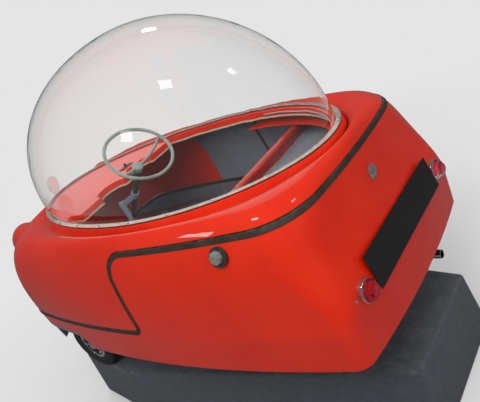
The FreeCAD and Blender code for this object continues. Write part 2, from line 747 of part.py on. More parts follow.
def make_hinge():
    """Two leaves on the nose: the barrel's middle is the canopy's, its ends are the tub's."""
    spot = hinge_axis()
    radius = size("hinge_round") / 2
    half = size("hinge_wide") / 2
    third = half / 3
    gap = size("seat_gap")
    pin_radius = radius * 0.45
    leaf = 3.0
    skin = hit(BODY[0], Vector(0, -2 * HALF_LONG, spot.z), Vector(0, 1, 0)).y - gap
    face = min(skin - leaf, spot.y + radius * 0.7)
    along = Vector(1, 0, 0)
    middle = Part.makeCylinder(radius, 2 * third - 2 * gap, spot + Vector(-third + gap, 0, 0), along)
    middle = middle.fuse(block(-third + gap, third - gap, face, skin, spot.z, spot.z + 34))
    middle = middle.cut(Part.makeCylinder(pin_radius + gap, 2 * half, spot - Vector(half, 0, 0), along))
    feature("canopy_hinge", middle)
    ends = Part.makeCylinder(pin_radius, 2 * half, spot - Vector(half, 0, 0), along)
    for x0, x1 in ((-half, -third), (third, half)):
        ends = ends.fuse(Part.makeCylinder(radius, x1 - x0, spot + Vector(x0, 0, 0), along))
        ends = ends.fuse(block(x0, x1, -HALF_LONG - gap - leaf, -HALF_LONG - gap, spot.z - 40, spot.z))
    feature("tub_hinge", ends)


# Floor, bulkhead, shelf and seat

def make_floor():
    """The floor pan: a sunken middle between the wheel wells, with ledges out to the skirt."""
    gap = size("seat_gap")
    low = ROAD + size("floor_high")
    ledge = ROAD + size("well_high") + SKIN
    half = size("well_x")
    front, rear = size("arch_front_y") - 20, size("bulkhead_y")
    outer = block(-half, half, front, rear, low, ledge)
    inner = block(-half + SKIN, half - SKIN, front + SKIN, rear + 1, low + SKIN, ledge + 1)
    inside = body_block(CREASE, SKIN + 14, ledge - ROAD - SKIN, ledge - ROAD)
    rim = inside.common(block(-HALF_WIDE, HALF_WIDE, -HALF_LONG, rear, ledge - SKIN, ledge))
    feature("floor_pan", outer.fuse(rim).cut(inner).removeSplitter())


def make_bulkhead():
    """The panel behind the seat with the rail along its top, and the parcel shelf."""
    gap = size("seat_gap")
    y0 = size("bulkhead_y")
    high = size("rail_high")
    foot = size("well_high") + SKIN + gap
    inside = body_block(SHOULDER, SKIN + gap, foot, high + size("rail_round"))
    panel = inside.common(block(-HALF_WIDE, HALF_WIDE, y0, y0 + SKIN, ROAD + foot, ROAD + high))
    half = size("well_x")
    panel = panel.fuse(block(-half, half, y0 + gap, y0 + SKIN, ROAD + size("floor_high"), ROAD + foot))
    rail = Part.makeCylinder(size("rail_round") / 2, 2 * HALF_WIDE,
                             Vector(-HALF_WIDE, y0 + SKIN / 2, ROAD + high), Vector(1, 0, 0))
    narrow = body_block(BROW, SKIN + gap, foot, high + size("rail_round"))
    feature("seat_bulkhead", panel.fuse(rail.common(narrow)).common(BODY[1]))
    level = size("shelf_high")
    floor = body_block(SHOULDER, SKIN + gap, level - SKIN, level)
    shelf = floor.common(block(-HALF_WIDE, HALF_WIDE, y0 + SKIN, HALF_LONG, ROAD, ROAD + level))
    feature("parcel_shelf", shelf.common(BODY[1]))


def make_seat():
    """The seat box, its cushion and its back."""
    lid = "plinth_tall + seat_box_high"
    front = "seat_front_y + seat_overhang"
    walls = slab("SeatWalls", ("-well_x + skin + seat_gap", "well_x - skin - seat_gap"),
                 (front, "bulkhead_y"), (FLOOR_LEVEL, lid))
    hollow = slab("SeatHollow",
                  ("-well_x + 2 * skin + seat_gap", "well_x - 2 * skin - seat_gap"),
                  (front + " + skin", "bulkhead_y + skin"), (FLOOR_LEVEL + " - skin", lid + " - skin"))
    top = slab("SeatLid", ("-seat_half", "seat_half"), (front, "bulkhead_y"), (lid + " - skin", lid))
    node("seat_box", joined("SeatBox", [cut("SeatFrame", walls, hollow), top]))
    cushion = slab("CushionBlock", ("-seat_half", "seat_half"),
                   ("seat_front_y", "bulkhead_y - back_thick - seat_gap"),
                   (lid + " + seat_gap", lid + " + cushion_thick"))
    back = slab("BackBlock", ("-seat_half", "seat_half"),
                ("bulkhead_y - back_thick", "bulkhead_y - seat_gap"),
                (lid + " + seat_gap", lid + " + back_tall"))
    level = ROAD + size("seat_box_high") + 2 * size("seat_rounding")
    radius = size("seat_rounding")
    node("seat_cushion", rounded("SeatCushion", cushion, radius, level))
    node("seat_back", rounded("SeatBack", back, radius, level))


# Front axle, knuckles and wheels

def make_front_axle():
    """The axle tube under the floor with a yoke for each kingpin."""
    inner = "king_half - lug_round / 2 - lug_reach"
    level, yoke = AXLE_LEVEL, "yoke_tall / 2"
    near, far = "front_axle_y - lug_wide / 2", "front_axle_y + lug_wide / 2"
    low, high = "%s - %s" % (level, yoke), "%s + %s" % (level, yoke)
    pieces = [bar("AxleTube", ("-(%s)" % inner, "front_axle_y", level), ALONG_X,
                  "beam_round", "2 * (%s)" % inner)]
    bores = []
    posts = both_sides(inner + " - post_thick / 3", inner + " + 2 * post_thick / 3")
    lugs = both_sides(inner, "king_half")
    for side, place, post, lug in zip(("Left", "Right"), ("king_half", "-king_half"), posts, lugs):
        pieces.append(slab("YokePost" + side, post, (near, far), (low, high)))
        for end, foot in (("Low", low), ("High", high + " - lug_thick")):
            name = end + side
            pieces.append(slab("Lug" + name, lug, (near, far), (foot, foot + " + lug_thick")))
            pieces.append(bar("LugEnd" + name, (place, "front_axle_y", foot), None,
                              "lug_round", "lug_thick"))
        bores.append(bar("PinBore" + side, (place, "front_axle_y", low + " - end_play"), None,
                         "kingpin_round + 2 * bore_gap", "yoke_tall + 2 * end_play"))
    for side, hanger in zip(("Left", "Right"), both_sides("hanger_x - hanger_wide / 2",
                                                          "hanger_x + hanger_wide / 2")):
        pieces.append(slab("Hanger" + side, hanger,
                           ("front_axle_y - hanger_wide / 2", "front_axle_y + hanger_wide / 2"),
                           (level, "plinth_tall + floor_high - seat_gap")))
    node("front_axle", cut("FrontAxle", joined("AxleSolid", pieces), joined("AxleBores", bores)))


def make_knuckles():
    """A knuckle for each front wheel: kingpin, barrel, stub axle and steering arm."""
    reach = "track_half - king_half + hub_wide / 2"
    clear = "yoke_tall / 2 - lug_thick - end_play"
    arms = both_sides("king_half - arm_wide", "king_half")
    rows = (("Left", "king_half", "king_half", arms[0]),
            ("Right", "-king_half", "-king_half - (%s)" % reach, arms[1]))
    for side, place, start, arm in rows:
        station = "front_axle_y"
        pieces = [
            bar("Kingpin" + side, (place, station, AXLE_LEVEL + " - yoke_tall / 2"), None,
                "kingpin_round", "yoke_tall"),
            bar("Barrel" + side, (place, station, "%s - (%s)" % (AXLE_LEVEL, clear)), None,
                "knuckle_round", "2 * (%s)" % clear),
            bar("Stub" + side, (start, station, AXLE_LEVEL), ALONG_X, "axle_round", reach),
            slab("SteerArm" + side, arm, (station, station + " + steer_arm"),
                 (AXLE_LEVEL + " - arm_drop", AXLE_LEVEL + " - arm_drop + arm_thick")),
        ]
        node("knuckle_" + side.lower(), joined("Knuckle" + side, pieces))


def wheel_pieces(name, middle, station, outward, cap):
    """The tyre and the pressed wheel of one road wheel."""
    spot = (middle, station, AXLE_LEVEL)
    title = name.title().replace("_", "")
    bead, half, radius = "rim_round / 2", "tyre_wide / 2", "tyre_round / 2"
    seat_half = "rim_wide / 2 - bead_in"
    side = [
        (bead, seat_half), (bead + " + 2 * bead_high / 3", seat_half),
        (bead + " + bead_high", half + " - bead_in"), (radius + " - 2 * tread_round", half),
        (radius + " - tread_crown", half + " - tread_in"),
        (radius, "(%s - tread_in) / 2" % half),
    ]
    profile = side + [(high, "-(%s)" % wide) for high, wide in reversed(side)]
    node(name + "_tyre", turned(title + "Tyre", profile, spot))

    edge = "rim_wide / 2"
    seat = bead + " - bore_gap"
    flange = bead + " + flange_high"
    wall = seat + " - rim_thick"
    side = [(wall, edge), (flange, edge), (flange, edge + " - flange_lip"),
            (seat, edge + " - flange_lip - bore_gap")]
    profile = side + [(high, "-(%s)" % wide) for high, wide in reversed(side)]
    barrel = turned(title + "Barrel", profile, spot)
    sign = "" if outward > 0 else "-"
    disc_low = "%s %s disc_out" % (middle, "+" if outward > 0 else "-")
    disc = bar(title + "Disc", (disc_low, station, AXLE_LEVEL), ALONG_X,
               "2 * (%s - rim_thick / 2)" % seat, "disc_thick")
    inner_end, outer_end = "hub_wide / 2", "hub_wide / 2 + %s" % cap
    if outward > 0:
        hub_start, bore_start = "%s - %s" % (middle, inner_end), "%s - hub_wide" % middle
    else:
        hub_start, bore_start = "%s - (%s)" % (middle, outer_end), "%s - hub_wide / 2 - end_play" % middle
    hub = bar(title + "Hub", (hub_start, station, AXLE_LEVEL), ALONG_X,
              "hub_round", "hub_wide + %s" % cap)
    bore = bar(title + "Bore", (bore_start, station, AXLE_LEVEL), ALONG_X,
               "axle_round + 2 * bore_gap", "1.5 * hub_wide + end_play")
    ring = "(%s + hub_round / 2) / 2" % wall
    holes = [bore]
    count = int(size("vent_count"))
    for index in range(count):
        turn = 2 * math.pi * index / count
        place = (disc_low + " - disc_thick", "%s + %.6f * (%s)" % (station, math.cos(turn), ring),
                 "%s + %.6f * (%s)" % (AXLE_LEVEL, math.sin(turn), ring))
        holes.append(bar("%sVent%d" % (title, index), place, ALONG_X, "vent_round", "3 * disc_thick"))
    solid = joined(title + "Solid", [barrel, disc, hub])
    node(name + "_wheel", cut(title + "Wheel", solid, joined(title + "Holes", holes)))


def make_wheels():
    """The three road wheels."""
    rows = (
        # name, middle, station, outward side, closed hub end
        ("front_left", "track_half", "front_axle_y", 1, "hub_cap"),
        ("front_right", "-track_half", "front_axle_y", -1, "hub_cap"),
        ("rear", "0", "front_axle_y + wheel_base", 1, "0"),
    )
    for row in rows:
        wheel_pieces(*row)


# Rear fork, damper, engine and exhaust

def make_rear_end():
    """The fork with its axle, the damper, the engine block and the exhaust pipe."""
    pivot = Vector(0, size("pivot_y"), ROAD + size("pivot_high"))
    reach = Vector(0, REAR_AXLE_Y, AXLE_HIGH) - pivot
    lean = Rotation(Vector(1, 0, 0), math.degrees(math.atan2(reach.z, reach.y)))
    corner = lean.multVec(Vector(0, 0, -0.5))
    level = "plinth_tall + pivot_high"
    rear_axle = "front_axle_y + wheel_base"
    bracket = "bulkhead_y + skin"
    pieces = [bar("PivotTube", ("-fork_x - pivot_over", "pivot_y", level), ALONG_X,
                  "pivot_round", "2 * (fork_x + pivot_over)")]
    rise = "(%s) - (%s)" % (AXLE_LEVEL, level)
    run = "%s - pivot_y" % rear_axle
    for side, place in (("Left", "fork_x - fork_thick / 2"), ("Right", "-fork_x - fork_thick / 2")):
        spot = (place, "pivot_y + %.6f * fork_deep" % corner.y, "%s + %.6f * fork_deep" % (level, corner.z))
        pieces.append(bound("Part::Box", "ForkArm" + side, spot, lean, Length="fork_thick",
                            Width="sqrt((%s)^2 + (%s)^2) + fork_deep / 2" % (run, rise),
                            Height="fork_deep"))
    half_axle = "fork_x + fork_thick / 2 + axle_over"
    pieces.append(bar("RearAxle", ("-(%s)" % half_axle, rear_axle, AXLE_LEVEL), ALONG_X,
                      "axle_round", "2 * (%s)" % half_axle))
    pieces.append(slab("ForkBracket", ("-fork_x - bracket_over", "fork_x + bracket_over"),
                       (bracket, "pivot_y"),
                       (level + " - bracket_thick / 2", level + " + bracket_thick / 2")))
    node("rear_fork", joined("RearFork", pieces))

    foot_y = "(pivot_y + %s) / 2 + damper_back" % rear_axle
    foot_z = level + " - damper_foot_tall"
    damper = bar("DamperBody", ("damper_x", foot_y, foot_z), None, "damper_round",
                 "shelf_high - skin - seat_gap - pivot_high + damper_foot_tall")
    ledge = slab("DamperFoot", ("fork_x + fork_thick / 2", "damper_x"),
                 (foot_y + " - damper_foot_wide / 2", foot_y + " + damper_foot_wide / 2"),
                 (foot_z, level))
    node("rear_damper", joined("RearDamper", [damper, ledge]))

    beside = "-fork_x - engine_gap"
    low = "plinth_tall + hem_high + engine_lift"
    node("engine_block", slab("EngineBlock", (beside + " - engine_wide", beside),
                              (bracket, bracket + " + engine_long"), (low, low + " + engine_tall")))

    level = "plinth_tall + exhaust_high"
    start = bracket + " + engine_long / 2"
    end = "body_long / 2 - exhaust_short"
    pipe = bar("Tailpipe", ("exhaust_x", start, level), ALONG_Y, "exhaust_round",
               "(%s) - (%s)" % (end, start))
    bore = bar("TailpipeBore", ("exhaust_x", end + " - exhaust_deep", level), ALONG_Y,
               "exhaust_round - 2 * exhaust_wall", "2 * exhaust_deep")
    riser = bar("Downpipe", ("exhaust_x", start + " + exhaust_round / 2", level), None,
                "exhaust_round - 2 * exhaust_wall", "hem_high + engine_lift - exhaust_high")
    node("exhaust_pipe", joined("ExhaustPipe", [cut("OpenTailpipe", pipe, bore), riser]))


# Tail fittings

def tail_spot(x, height):
    """The outer skin of the tail at a distance from the middle and a height."""
    return hit(BODY[0], Vector(x, 2 * HALF_LONG, ROAD + height), Vector(0, -1, 0))


def make_tail_fittings():
    """The blank number plate, both tail lamps and the deck boss."""
    middle = size("plate_high")
    gap = size("seat_gap")
    low = middle - size("plate_tall") / 2
    slope = math.tan(math.radians(size("plate_angle")))
    steps = 12
    rests = []
    for step in range(steps + 1):
        above = size("plate_tall") * step / steps
        rests.append(tail_spot(0, low + above).y + above * slope)
    lean = Rotation(Vector(1, 0, 0), size("plate_angle"))
    plate = bound("Part::Box", "NumberPlate", None, None, Length="plate_wide",
                  Width="plate_thick", Height="plate_tall")
    plate.Placement = Placement(Vector(-size("plate_wide") / 2, max(rests) + gap, ROAD + low), lean)
    node("number_plate", plate)
    radius = size("lamp_round") / 2
    spot = tail_spot(size("lamp_x"), size("lamp_high")) - Vector(0, size("lamp_round") / 4, 0)
    ring = Part.makeCylinder(radius, size("lamp_round") / 4 + 8, spot, Vector(0, 1, 0)).cut(BODY[0])
    lens_steps = (
        # name, radius inside the lamp's own, depth
        ("LensFoot", 4, 10),
        ("LensStep", 9, 10),
        ("LensTip", 16, 9),
    )
    pieces = []
    start = spot.y + size("lamp_round") / 4 + 8
    for name, inside, deep in lens_steps:
        piece = bound("Part::Cylinder", name, None, None, Radius="lamp_round / 2 - %d" % inside)
        piece.Height = deep
        piece.Placement = Placement(Vector(spot.x, start, spot.z), ALONG_Y)
        pieces.append(piece)
        start += deep
    feature("tail_lamp_rings", Part.makeCompound([ring, mirrored(ring)]))
    left_and_right("tail_lamp_lenses", joined("LampLens", pieces))
    spot = tail_spot(0, size("boss_high"))
    boss = Part.makeCylinder(size("boss_round") / 2, 24, spot - Vector(0, 16, 0), Vector(0, 1, 0))
    feature("deck_boss", boss.cut(BODY[0]))


def make_filler():
    """The fuel filler on the left flank: a dark base and a scalloped cap."""
    out = Vector(0.9, 0.14, 0.42).normalize()
    aim = Vector(HALF_WIDE, size("filler_y"), ROAD + size("filler_high")) + out * 100
    spot = hit(BODY[0], aim, out * -1)
    base = Part.makeCylinder(size("filler_round") / 2, 34, spot - out * 24, out).cut(BODY[0])
    feature("filler_base", base)
    cap_radius = size("filler_round") * 0.36
    cap = Part.makeCylinder(cap_radius, 14, spot + out * 10, out)
    feature("filler_cap", cap)


# Steering

def steering_frame():
    """Centre of the steering wheel and the way down its column."""
    lean = math.radians(size("column_angle"))
    down = Vector(0, -math.sin(lean), -math.cos(lean))
    return Vector(0, size("wheel_y"), ROAD + size("wheel_high")), down


def make_steering():
    """The dished two-spoke steering wheel, its column, the post and the foot box."""
    centre, down = steering_frame()
    radius = (size("wheel_rim_round") - size("wheel_tube")) / 2
    dish = size("wheel_dish")
    tube = Part.makeTorus(radius, size("wheel_tube") / 2)
    hub = Part.makeCylinder(24, 30, Vector(0, 0, -dish - 20))
    wheel = tube.fuse(hub)
    for side in (-1, 1):
        start = Vector(side * 10, 0, -dish)
        middle = Vector(side * radius * 0.62, 0, -dish * 0.72)
        end = Vector(side * radius, 0, 0)
        path = Part.Wire([Part.Arc(start, middle, end).toShape()])
        tangent = path.Edges[0].tangentAt(path.Edges[0].FirstParameter)
        ring = Part.Wire([Part.Circle(start, tangent, size("spoke_tube") / 2).toShape()])
        spoke = path.makePipeShell([ring], True, True)
        wheel = wheel.fuse(spoke)
    turn = Rotation(Vector(1, 0, 0), -size("column_angle"))
    wheel = wheel.removeSplitter()
    wheel.Placement = Placement(centre, turn)
    feature("steering_wheel", wheel)

    hub_end = centre + down * (dish + 20)
    foot = hub_end + down * size("column_long")
    column = bound("Part::Cylinder", "SteeringColumn", None, None, Radius="column_round / 2",
                   Height="column_long")
    column.Placement = Placement(foot, turn)
    node("steering_column", column)

    post_x, post_y = size("post_x"), size("post_y")
    floor = ROAD + size("floor_high") + SKIN
    travel = (centre.y + down.y * (dish + 20) - post_y) / -down.y
    clasp = hub_end + down * travel
    post_top = clasp.z + 16
    post = Part.makeCylinder(size("post_round") / 2, post_top - floor, Vector(post_x, post_y, floor))
    arm = block(0, post_x, post_y - 9, post_y + 9, clasp.z - 9, clasp.z + 9)
    collar = Part.makeCylinder(size("column_round") / 2 + 7, 30, clasp - down * 15, down)
    bore = Part.makeCylinder(size("column_round") / 2 + size("bore_gap"), 80, clasp - down * 40, down)
    feature("column_post", post.fuse(arm).fuse(collar).cut(bore))

    box = block(-45, 45, foot.y - 70, foot.y + 50, floor, foot.z + 30)
    socket = Part.makeCylinder(size("column_round") / 2 + size("bore_gap"), 120, foot - down * 100, down)
    end_gap = Part.makeCylinder(size("column_round") / 2 + size("bore_gap"), 3, foot, down)
    feature("steering_box", box.cut(socket).cut(end_gap))


def make_pedals():
    """Two pedals on the floor ahead of the seat."""
    pedals = []
    for name, place in (("Left", "pedal_left_x"), ("Right", "pedal_right_x")):
        pad = slab("PedalPad" + name, (place + " - pedal_wide / 2", place + " + pedal_wide / 2"),
                   ("pedal_y", "pedal_y + pedal_thick"),
                   (FLOOR_LEVEL + " + pedal_low", FLOOR_LEVEL + " + pedal_low + pedal_tall"))
        arm = slab("PedalArm" + name, (place + " - pedal_arm / 2", place + " + pedal_arm / 2"),
                   ("pedal_y - pedal_thick", "pedal_y"),
                   (FLOOR_LEVEL, FLOOR_LEVEL + " + pedal_low + pedal_tall - pedal_thick"))
        pedals.append(joined("Pedal" + name, [pad, arm]))
    pair = doc.addObject("Part::Compound", "Pedals")
    pair.Links = pedals
    node("pedals", pair)


make_plinth()
make_shells()
make_bubble()
make_headlamps()
make_canopy_fittings()
make_hinge()
make_floor()
make_bulkhead()
make_seat()
make_front_axle()
make_knuckles()
make_wheels()
make_rear_end()
make_tail_fittings()
make_filler()
make_steering()
make_pedals()

doc.recompute()
for item in doc.Objects:
    if "Invalid" in item.State or "Error" in item.State:
        raise RuntimeError(item.Label + " did not recompute")
for item in nodes:
    if item.Shape.isNull() or not item.Shape.isValid():
        raise RuntimeError(item.Label + " has no valid shape")

os.makedirs("parts", exist_ok=True)
for item in nodes:
    item.Shape.exportStep("parts/%s.step" % item.Label)
    box = item.Shape.BoundBox
    print("%-18s solids %d volume %.0f  x %.0f..%.0f y %.0f..%.0f z %.0f..%.0f" % (
        item.Label, len(item.Shape.Solids), item.Shape.Volume,
        box.XMin, box.XMax, box.YMin, box.YMax, box.ZMin, box.ZMax))
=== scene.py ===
"""Looks of a small three-wheel bubble car that stands on a carpeted display plinth.

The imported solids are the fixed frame. Each sub-assembly below is a class: it gives the
solids that stay their finishes and models the finer pieces that stand for the others.
Sizes are metres. The nose points along -Y, the car's left side is +X and +Z is up.
"""

from __future__ import annotations

import json
import logging
import math
from collections.abc import Sequence
from dataclasses import dataclass, field
from enum import Enum

import bpy
from mathutils import Matrix, Vector
from mathutils.bvhtree import BVHTree
from mathutils.noise import noise

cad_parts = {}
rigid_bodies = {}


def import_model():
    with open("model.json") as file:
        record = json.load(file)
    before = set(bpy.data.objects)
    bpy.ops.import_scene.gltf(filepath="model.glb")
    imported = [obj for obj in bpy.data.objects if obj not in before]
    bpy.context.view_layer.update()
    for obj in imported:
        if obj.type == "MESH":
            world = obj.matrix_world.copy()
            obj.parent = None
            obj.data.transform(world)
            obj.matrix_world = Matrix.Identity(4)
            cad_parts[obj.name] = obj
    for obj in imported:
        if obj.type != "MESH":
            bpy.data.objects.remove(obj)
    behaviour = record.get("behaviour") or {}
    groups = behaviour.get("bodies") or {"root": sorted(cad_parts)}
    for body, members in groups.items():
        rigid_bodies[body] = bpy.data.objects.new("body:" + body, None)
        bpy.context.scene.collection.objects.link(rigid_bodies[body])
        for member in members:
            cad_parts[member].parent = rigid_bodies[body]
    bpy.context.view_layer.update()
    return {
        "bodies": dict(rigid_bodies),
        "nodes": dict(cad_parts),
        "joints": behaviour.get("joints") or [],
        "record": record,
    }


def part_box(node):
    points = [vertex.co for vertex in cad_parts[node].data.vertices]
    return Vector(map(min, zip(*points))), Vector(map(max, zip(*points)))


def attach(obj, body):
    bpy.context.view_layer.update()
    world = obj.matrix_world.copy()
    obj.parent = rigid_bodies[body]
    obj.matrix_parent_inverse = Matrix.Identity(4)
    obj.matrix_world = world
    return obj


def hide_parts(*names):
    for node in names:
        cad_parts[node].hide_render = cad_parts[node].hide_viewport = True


LOG = logging.getLogger("bubble_car")
Colour = tuple[float, float, float]
Row = tuple[float, float]
# A profile's row: a radius, or a share or margin of one, and a place along the axis
Profile = Sequence[Row]
CAR = "car"
CANOPY = "canopy"
BACK = Vector((0, 1, 0))
FORWARD = Vector((0, -1, 0))
UP = Vector((0, 0, 1))
DUST_COLOUR = (0.55, 0.52, 0.48)
SMUDGE_SCALE = 9.0
INWARD_FACING = -0.03
SMALLEST_RADIUS = 0.0001
MERGE_GAP = 0.00001
PACKED_MERGE_GAP = 0.00002


class Side(Enum):
    """The two sides of the car."""

    LEFT = 1
    RIGHT = -1


class Relief(Enum):
    """How a surface's fine relief is drawn: the name of its node group."""

    RIPPLE = "Fine ripple"
    LEATHER = "Leather grain"
    PILE = "Carpet pile"
    CAST = "Cast skin"
    FLUTES = "Glass flutes"


# Finishes


class Sheet:
    """Adds and links the nodes of one material or node group."""

    def __init__(self, tree: bpy.types.NodeTree) -> None:
        """Takes the node tree to work on."""
        self.tree = tree

    def add(self, kind: str, inputs: dict | None = None, **settings: object) -> bpy.types.Node:
        """Adds a node.

        Args:
            kind: Blender's name of the node.
            inputs: values of its input sockets, by name or number.
            settings: properties of the node itself.

        Returns:
            The new node.
        """
        made = self.tree.nodes.new(kind)
        for name, value in settings.items():
            setattr(made, name, value)
        for name, value in (inputs or {}).items():
            made.inputs[name].default_value = value
        return made

    def link(self, source: bpy.types.NodeSocket, target: bpy.types.NodeSocket) -> None:
        """Links an output to an input."""
        self.tree.links.new(source, target)

    def math(self, operation: str, first: object, second: object = 0.0) -> bpy.types.NodeSocket:
        """Adds a Math node.

        Args:
            operation: the node's operation.
            first: a socket or a number.
            second: a socket or a number.

        Returns:
            The node's output.
        """
        made = self.add("ShaderNodeMath", operation=operation)
        for socket, value in zip(made.inputs, (first, second)):
            self.feed(socket, value)
        return made.outputs[0]

    def group(self, tree: bpy.types.NodeTree, **inputs: float) -> bpy.types.NodeSocket:
        """Adds a node group with the given values of its inputs and returns its one output."""
        return self.add("ShaderNodeGroup", inputs, node_tree=tree).outputs[0]

    def spread(self, value: bpy.types.NodeSocket, ends: Row) -> bpy.types.NodeSocket:
        """Maps a mask from 0 to 1 evenly to the two given ends."""
        made = self.add("ShaderNodeMapRange", {"To Min": ends[0], "To Max": ends[1]})
        self.link(value, made.inputs["Value"])
        return made.outputs["Result"]

    def part(self, vector: bpy.types.NodeSocket, axis: str) -> bpy.types.NodeSocket:
        """Returns one part of a vector, by the name of its axis."""
        made = self.add("ShaderNodeSeparateXYZ")
        self.link(vector, made.inputs[0])
        return made.outputs[axis]

    def vector(self, operation: str, *values: object) -> bpy.types.Node:
        """Adds a Vector Math node whose inputs are sockets or plain vectors."""
        made = self.add("ShaderNodeVectorMath", operation=operation)
        for socket, value in zip(made.inputs, values):
            self.feed(socket, value)
        return made

    def feed(self, socket: bpy.types.NodeSocket, value: object) -> None:
        """Links a socket to an input, or sets the input to a plain value."""
        if isinstance(value, bpy.types.NodeSocket):
            self.link(value, socket)
        else:
            socket.default_value = value

    def cloud(self, place: bpy.types.NodeSocket, scale: object, detail: float,
              roughness: float = 0.5) -> bpy.types.NodeSocket:
        """Adds a noise.

        Args:
            place: the coordinates that it is laid on.
            scale: how fine it is, a socket or a number.
            detail: how many finer layers it has.
            roughness: how strong the finer layers are.

        Returns:
            The noise's value.
        """
        made = self.add("ShaderNodeTexNoise", {"Detail": detail, "Roughness": roughness})
        self.link(place, made.inputs["Vector"])
        self.feed(made.inputs["Scale"], scale)
        return made.outputs[0]

    def either(self, share: bpy.types.NodeSocket, first: bpy.types.NodeSocket,
               second: bpy.types.NodeSocket) -> bpy.types.NodeSocket:
        """Mixes two shaders by a share and returns the mixed shader."""
        made = self.add("ShaderNodeMixShader")
        for socket, source in zip(made.inputs, (share, first, second)):
            self.link(source, socket)
        return made.outputs[0]

    def tint(self, share: bpy.types.NodeSocket, first: object,
             second: object) -> bpy.types.NodeSocket:
        """Mixes two colours by a mask.

        Args:
            share: how much of the second colour shows.
            first: a colour or a socket.
            second: a colour or a socket.

        Returns:
            The mixed colour.
        """
        made = self.add("ShaderNodeMix", data_type="RGBA")
        self.link(share, made.inputs[0])
        for socket, value in zip(made.inputs[6:8], (first, second)):
            self.feed(socket, value if isinstance(value, bpy.types.NodeSocket) else (*value, 1.0))
        return made.outputs[2]

    def ramp(self, value: bpy.types.NodeSocket, low: float, high: float) -> bpy.types.NodeSocket:
        """Maps a value smoothly from a range to 0 to 1.

        Args:
            value: the value to map.
            low: the value that gives 0.
            high: the value that gives 1.

        Returns:
            The mapped value.
        """
        made = self.add("ShaderNodeMapRange", {"From Min": low, "From Max": high},
                        interpolation_type="SMOOTHSTEP")
        self.link(value, made.inputs["Value"])
        return made.outputs["Result"]


class SharedEffects:
    """The node groups that more than one finish uses, each built once."""

    def __init__(self) -> None:
        """Starts with no group built."""
        self.groups: dict[str, bpy.types.NodeTree] = {}

    def _start(self, name: str, inputs: dict[str, float], output: str) -> tuple:
        """Starts a group.

        Args:
            name: the group's name.
            inputs: its number inputs and their first values.
            output: the name of its one output.

        Returns:
            The sheet, the inputs, the output and the object coordinates.
        """
        tree = bpy.data.node_groups.new(name, "ShaderNodeTree")
        for title, value in inputs.items():
            socket = tree.interface.new_socket(title, in_out="INPUT", socket_type="NodeSocketFloat")
            socket.default_value = value
        tree.interface.new_socket(output, in_out="OUTPUT", socket_type="NodeSocketFloat")
        sheet = Sheet(tree)
        source = sheet.add("NodeGroupInput").outputs
        target = sheet.add("NodeGroupOutput").inputs[0]
        place = sheet.add("ShaderNodeTexCoord").outputs["Object"]
        self.groups[name] = tree
        return sheet, source, target, place

    def patches(self) -> bpy.types.NodeTree:
        """Builds soft patches of tone, such as sun and handling leave on a surface."""
        if "Tone patches" not in self.groups:
            sheet, source, target, place = self._start("Tone patches", {"Scale": 6.0}, "Mask")
            cloud = sheet.cloud(place, source["Scale"], 5.0, 0.6)
            sheet.link(sheet.ramp(cloud, 0.34, 0.68), target)
        return self.groups["Tone patches"]

    def edge_wear_and_highlight(self) -> bpy.types.NodeTree:
        """Builds a mask of edges, broken up by a noise: wear on most finishes, and on the yellowed
        strip a painted highlight along its edges.
        """
        if "Edge wear and painted edge highlight" not in self.groups:
            inputs = {"Width": 0.004, "Scale": 60.0}
            sheet, source, target, place = self._start("Edge wear and painted edge highlight", inputs, "Mask")
            soft = sheet.add("ShaderNodeBevel", samples=6)
            sheet.link(source["Width"], soft.inputs["Radius"])
            flat = sheet.add("ShaderNodeNewGeometry").outputs["Normal"]
            facing = sheet.vector("DOT_PRODUCT", soft.outputs[0], flat).outputs["Value"]
            bent = sheet.math("SUBTRACT", 1.0, facing)
            cloud = sheet.cloud(place, source["Scale"], 6.0, 0.7)
            broken = sheet.math("MULTIPLY", sheet.ramp(bent, 0.004, 0.12),
                                sheet.ramp(cloud, 0.36, 0.6))
            sheet.link(broken, target)
        return self.groups["Edge wear and painted edge highlight"]

    def dust(self) -> bpy.types.NodeTree:
        """Builds a mask of the dust that lies on faces that look up."""
        if "Settled dust" not in self.groups:
            sheet, source, target, place = self._start("Settled dust", {"Scale": 30.0}, "Mask")
            upward = sheet.part(sheet.add("ShaderNodeNewGeometry").outputs["Normal"], "Z")
            cloud = sheet.cloud(place, source["Scale"], 8.0, 0.75)
            lying = sheet.math("MULTIPLY", sheet.ramp(upward, 0.3, 0.95),
                               sheet.ramp(cloud, 0.42, 0.7))
            sheet.link(lying, target)
        return self.groups["Settled dust"]

    def relief(self, kind: Relief) -> bpy.types.NodeTree:
        """Builds the height of one kind of fine relief.

        Args:
            kind: which relief.

        Returns:
            The node group, whose output is a height from 0 to 1.
        """
        if kind.value not in self.groups:
            sheet, source, target, place = self._start(kind.value, {"Scale": 400.0}, "Height")
            if kind is Relief.LEATHER:
                cells = sheet.add("ShaderNodeTexVoronoi", feature="DISTANCE_TO_EDGE")
                sheet.link(place, cells.inputs["Vector"])
                sheet.link(source["Scale"], cells.inputs["Scale"])
                height = sheet.ramp(cells.outputs["Distance"], 0.0, 0.25)
            elif kind is Relief.FLUTES:
                turn = sheet.math("MULTIPLY", sheet.part(place, "X"), source["Scale"])
                height = sheet.math("MULTIPLY_ADD", sheet.math("SINE", turn), 0.5)
            else:
                detail = {Relief.RIPPLE: 2.0, Relief.PILE: 8.0, Relief.CAST: 5.0}[kind]
                height = sheet.ramp(sheet.cloud(place, source["Scale"], detail, 0.65), 0.25, 0.75)
            sheet.link(height, target)
        return self.groups[kind.value]


EFFECTS = SharedEffects()


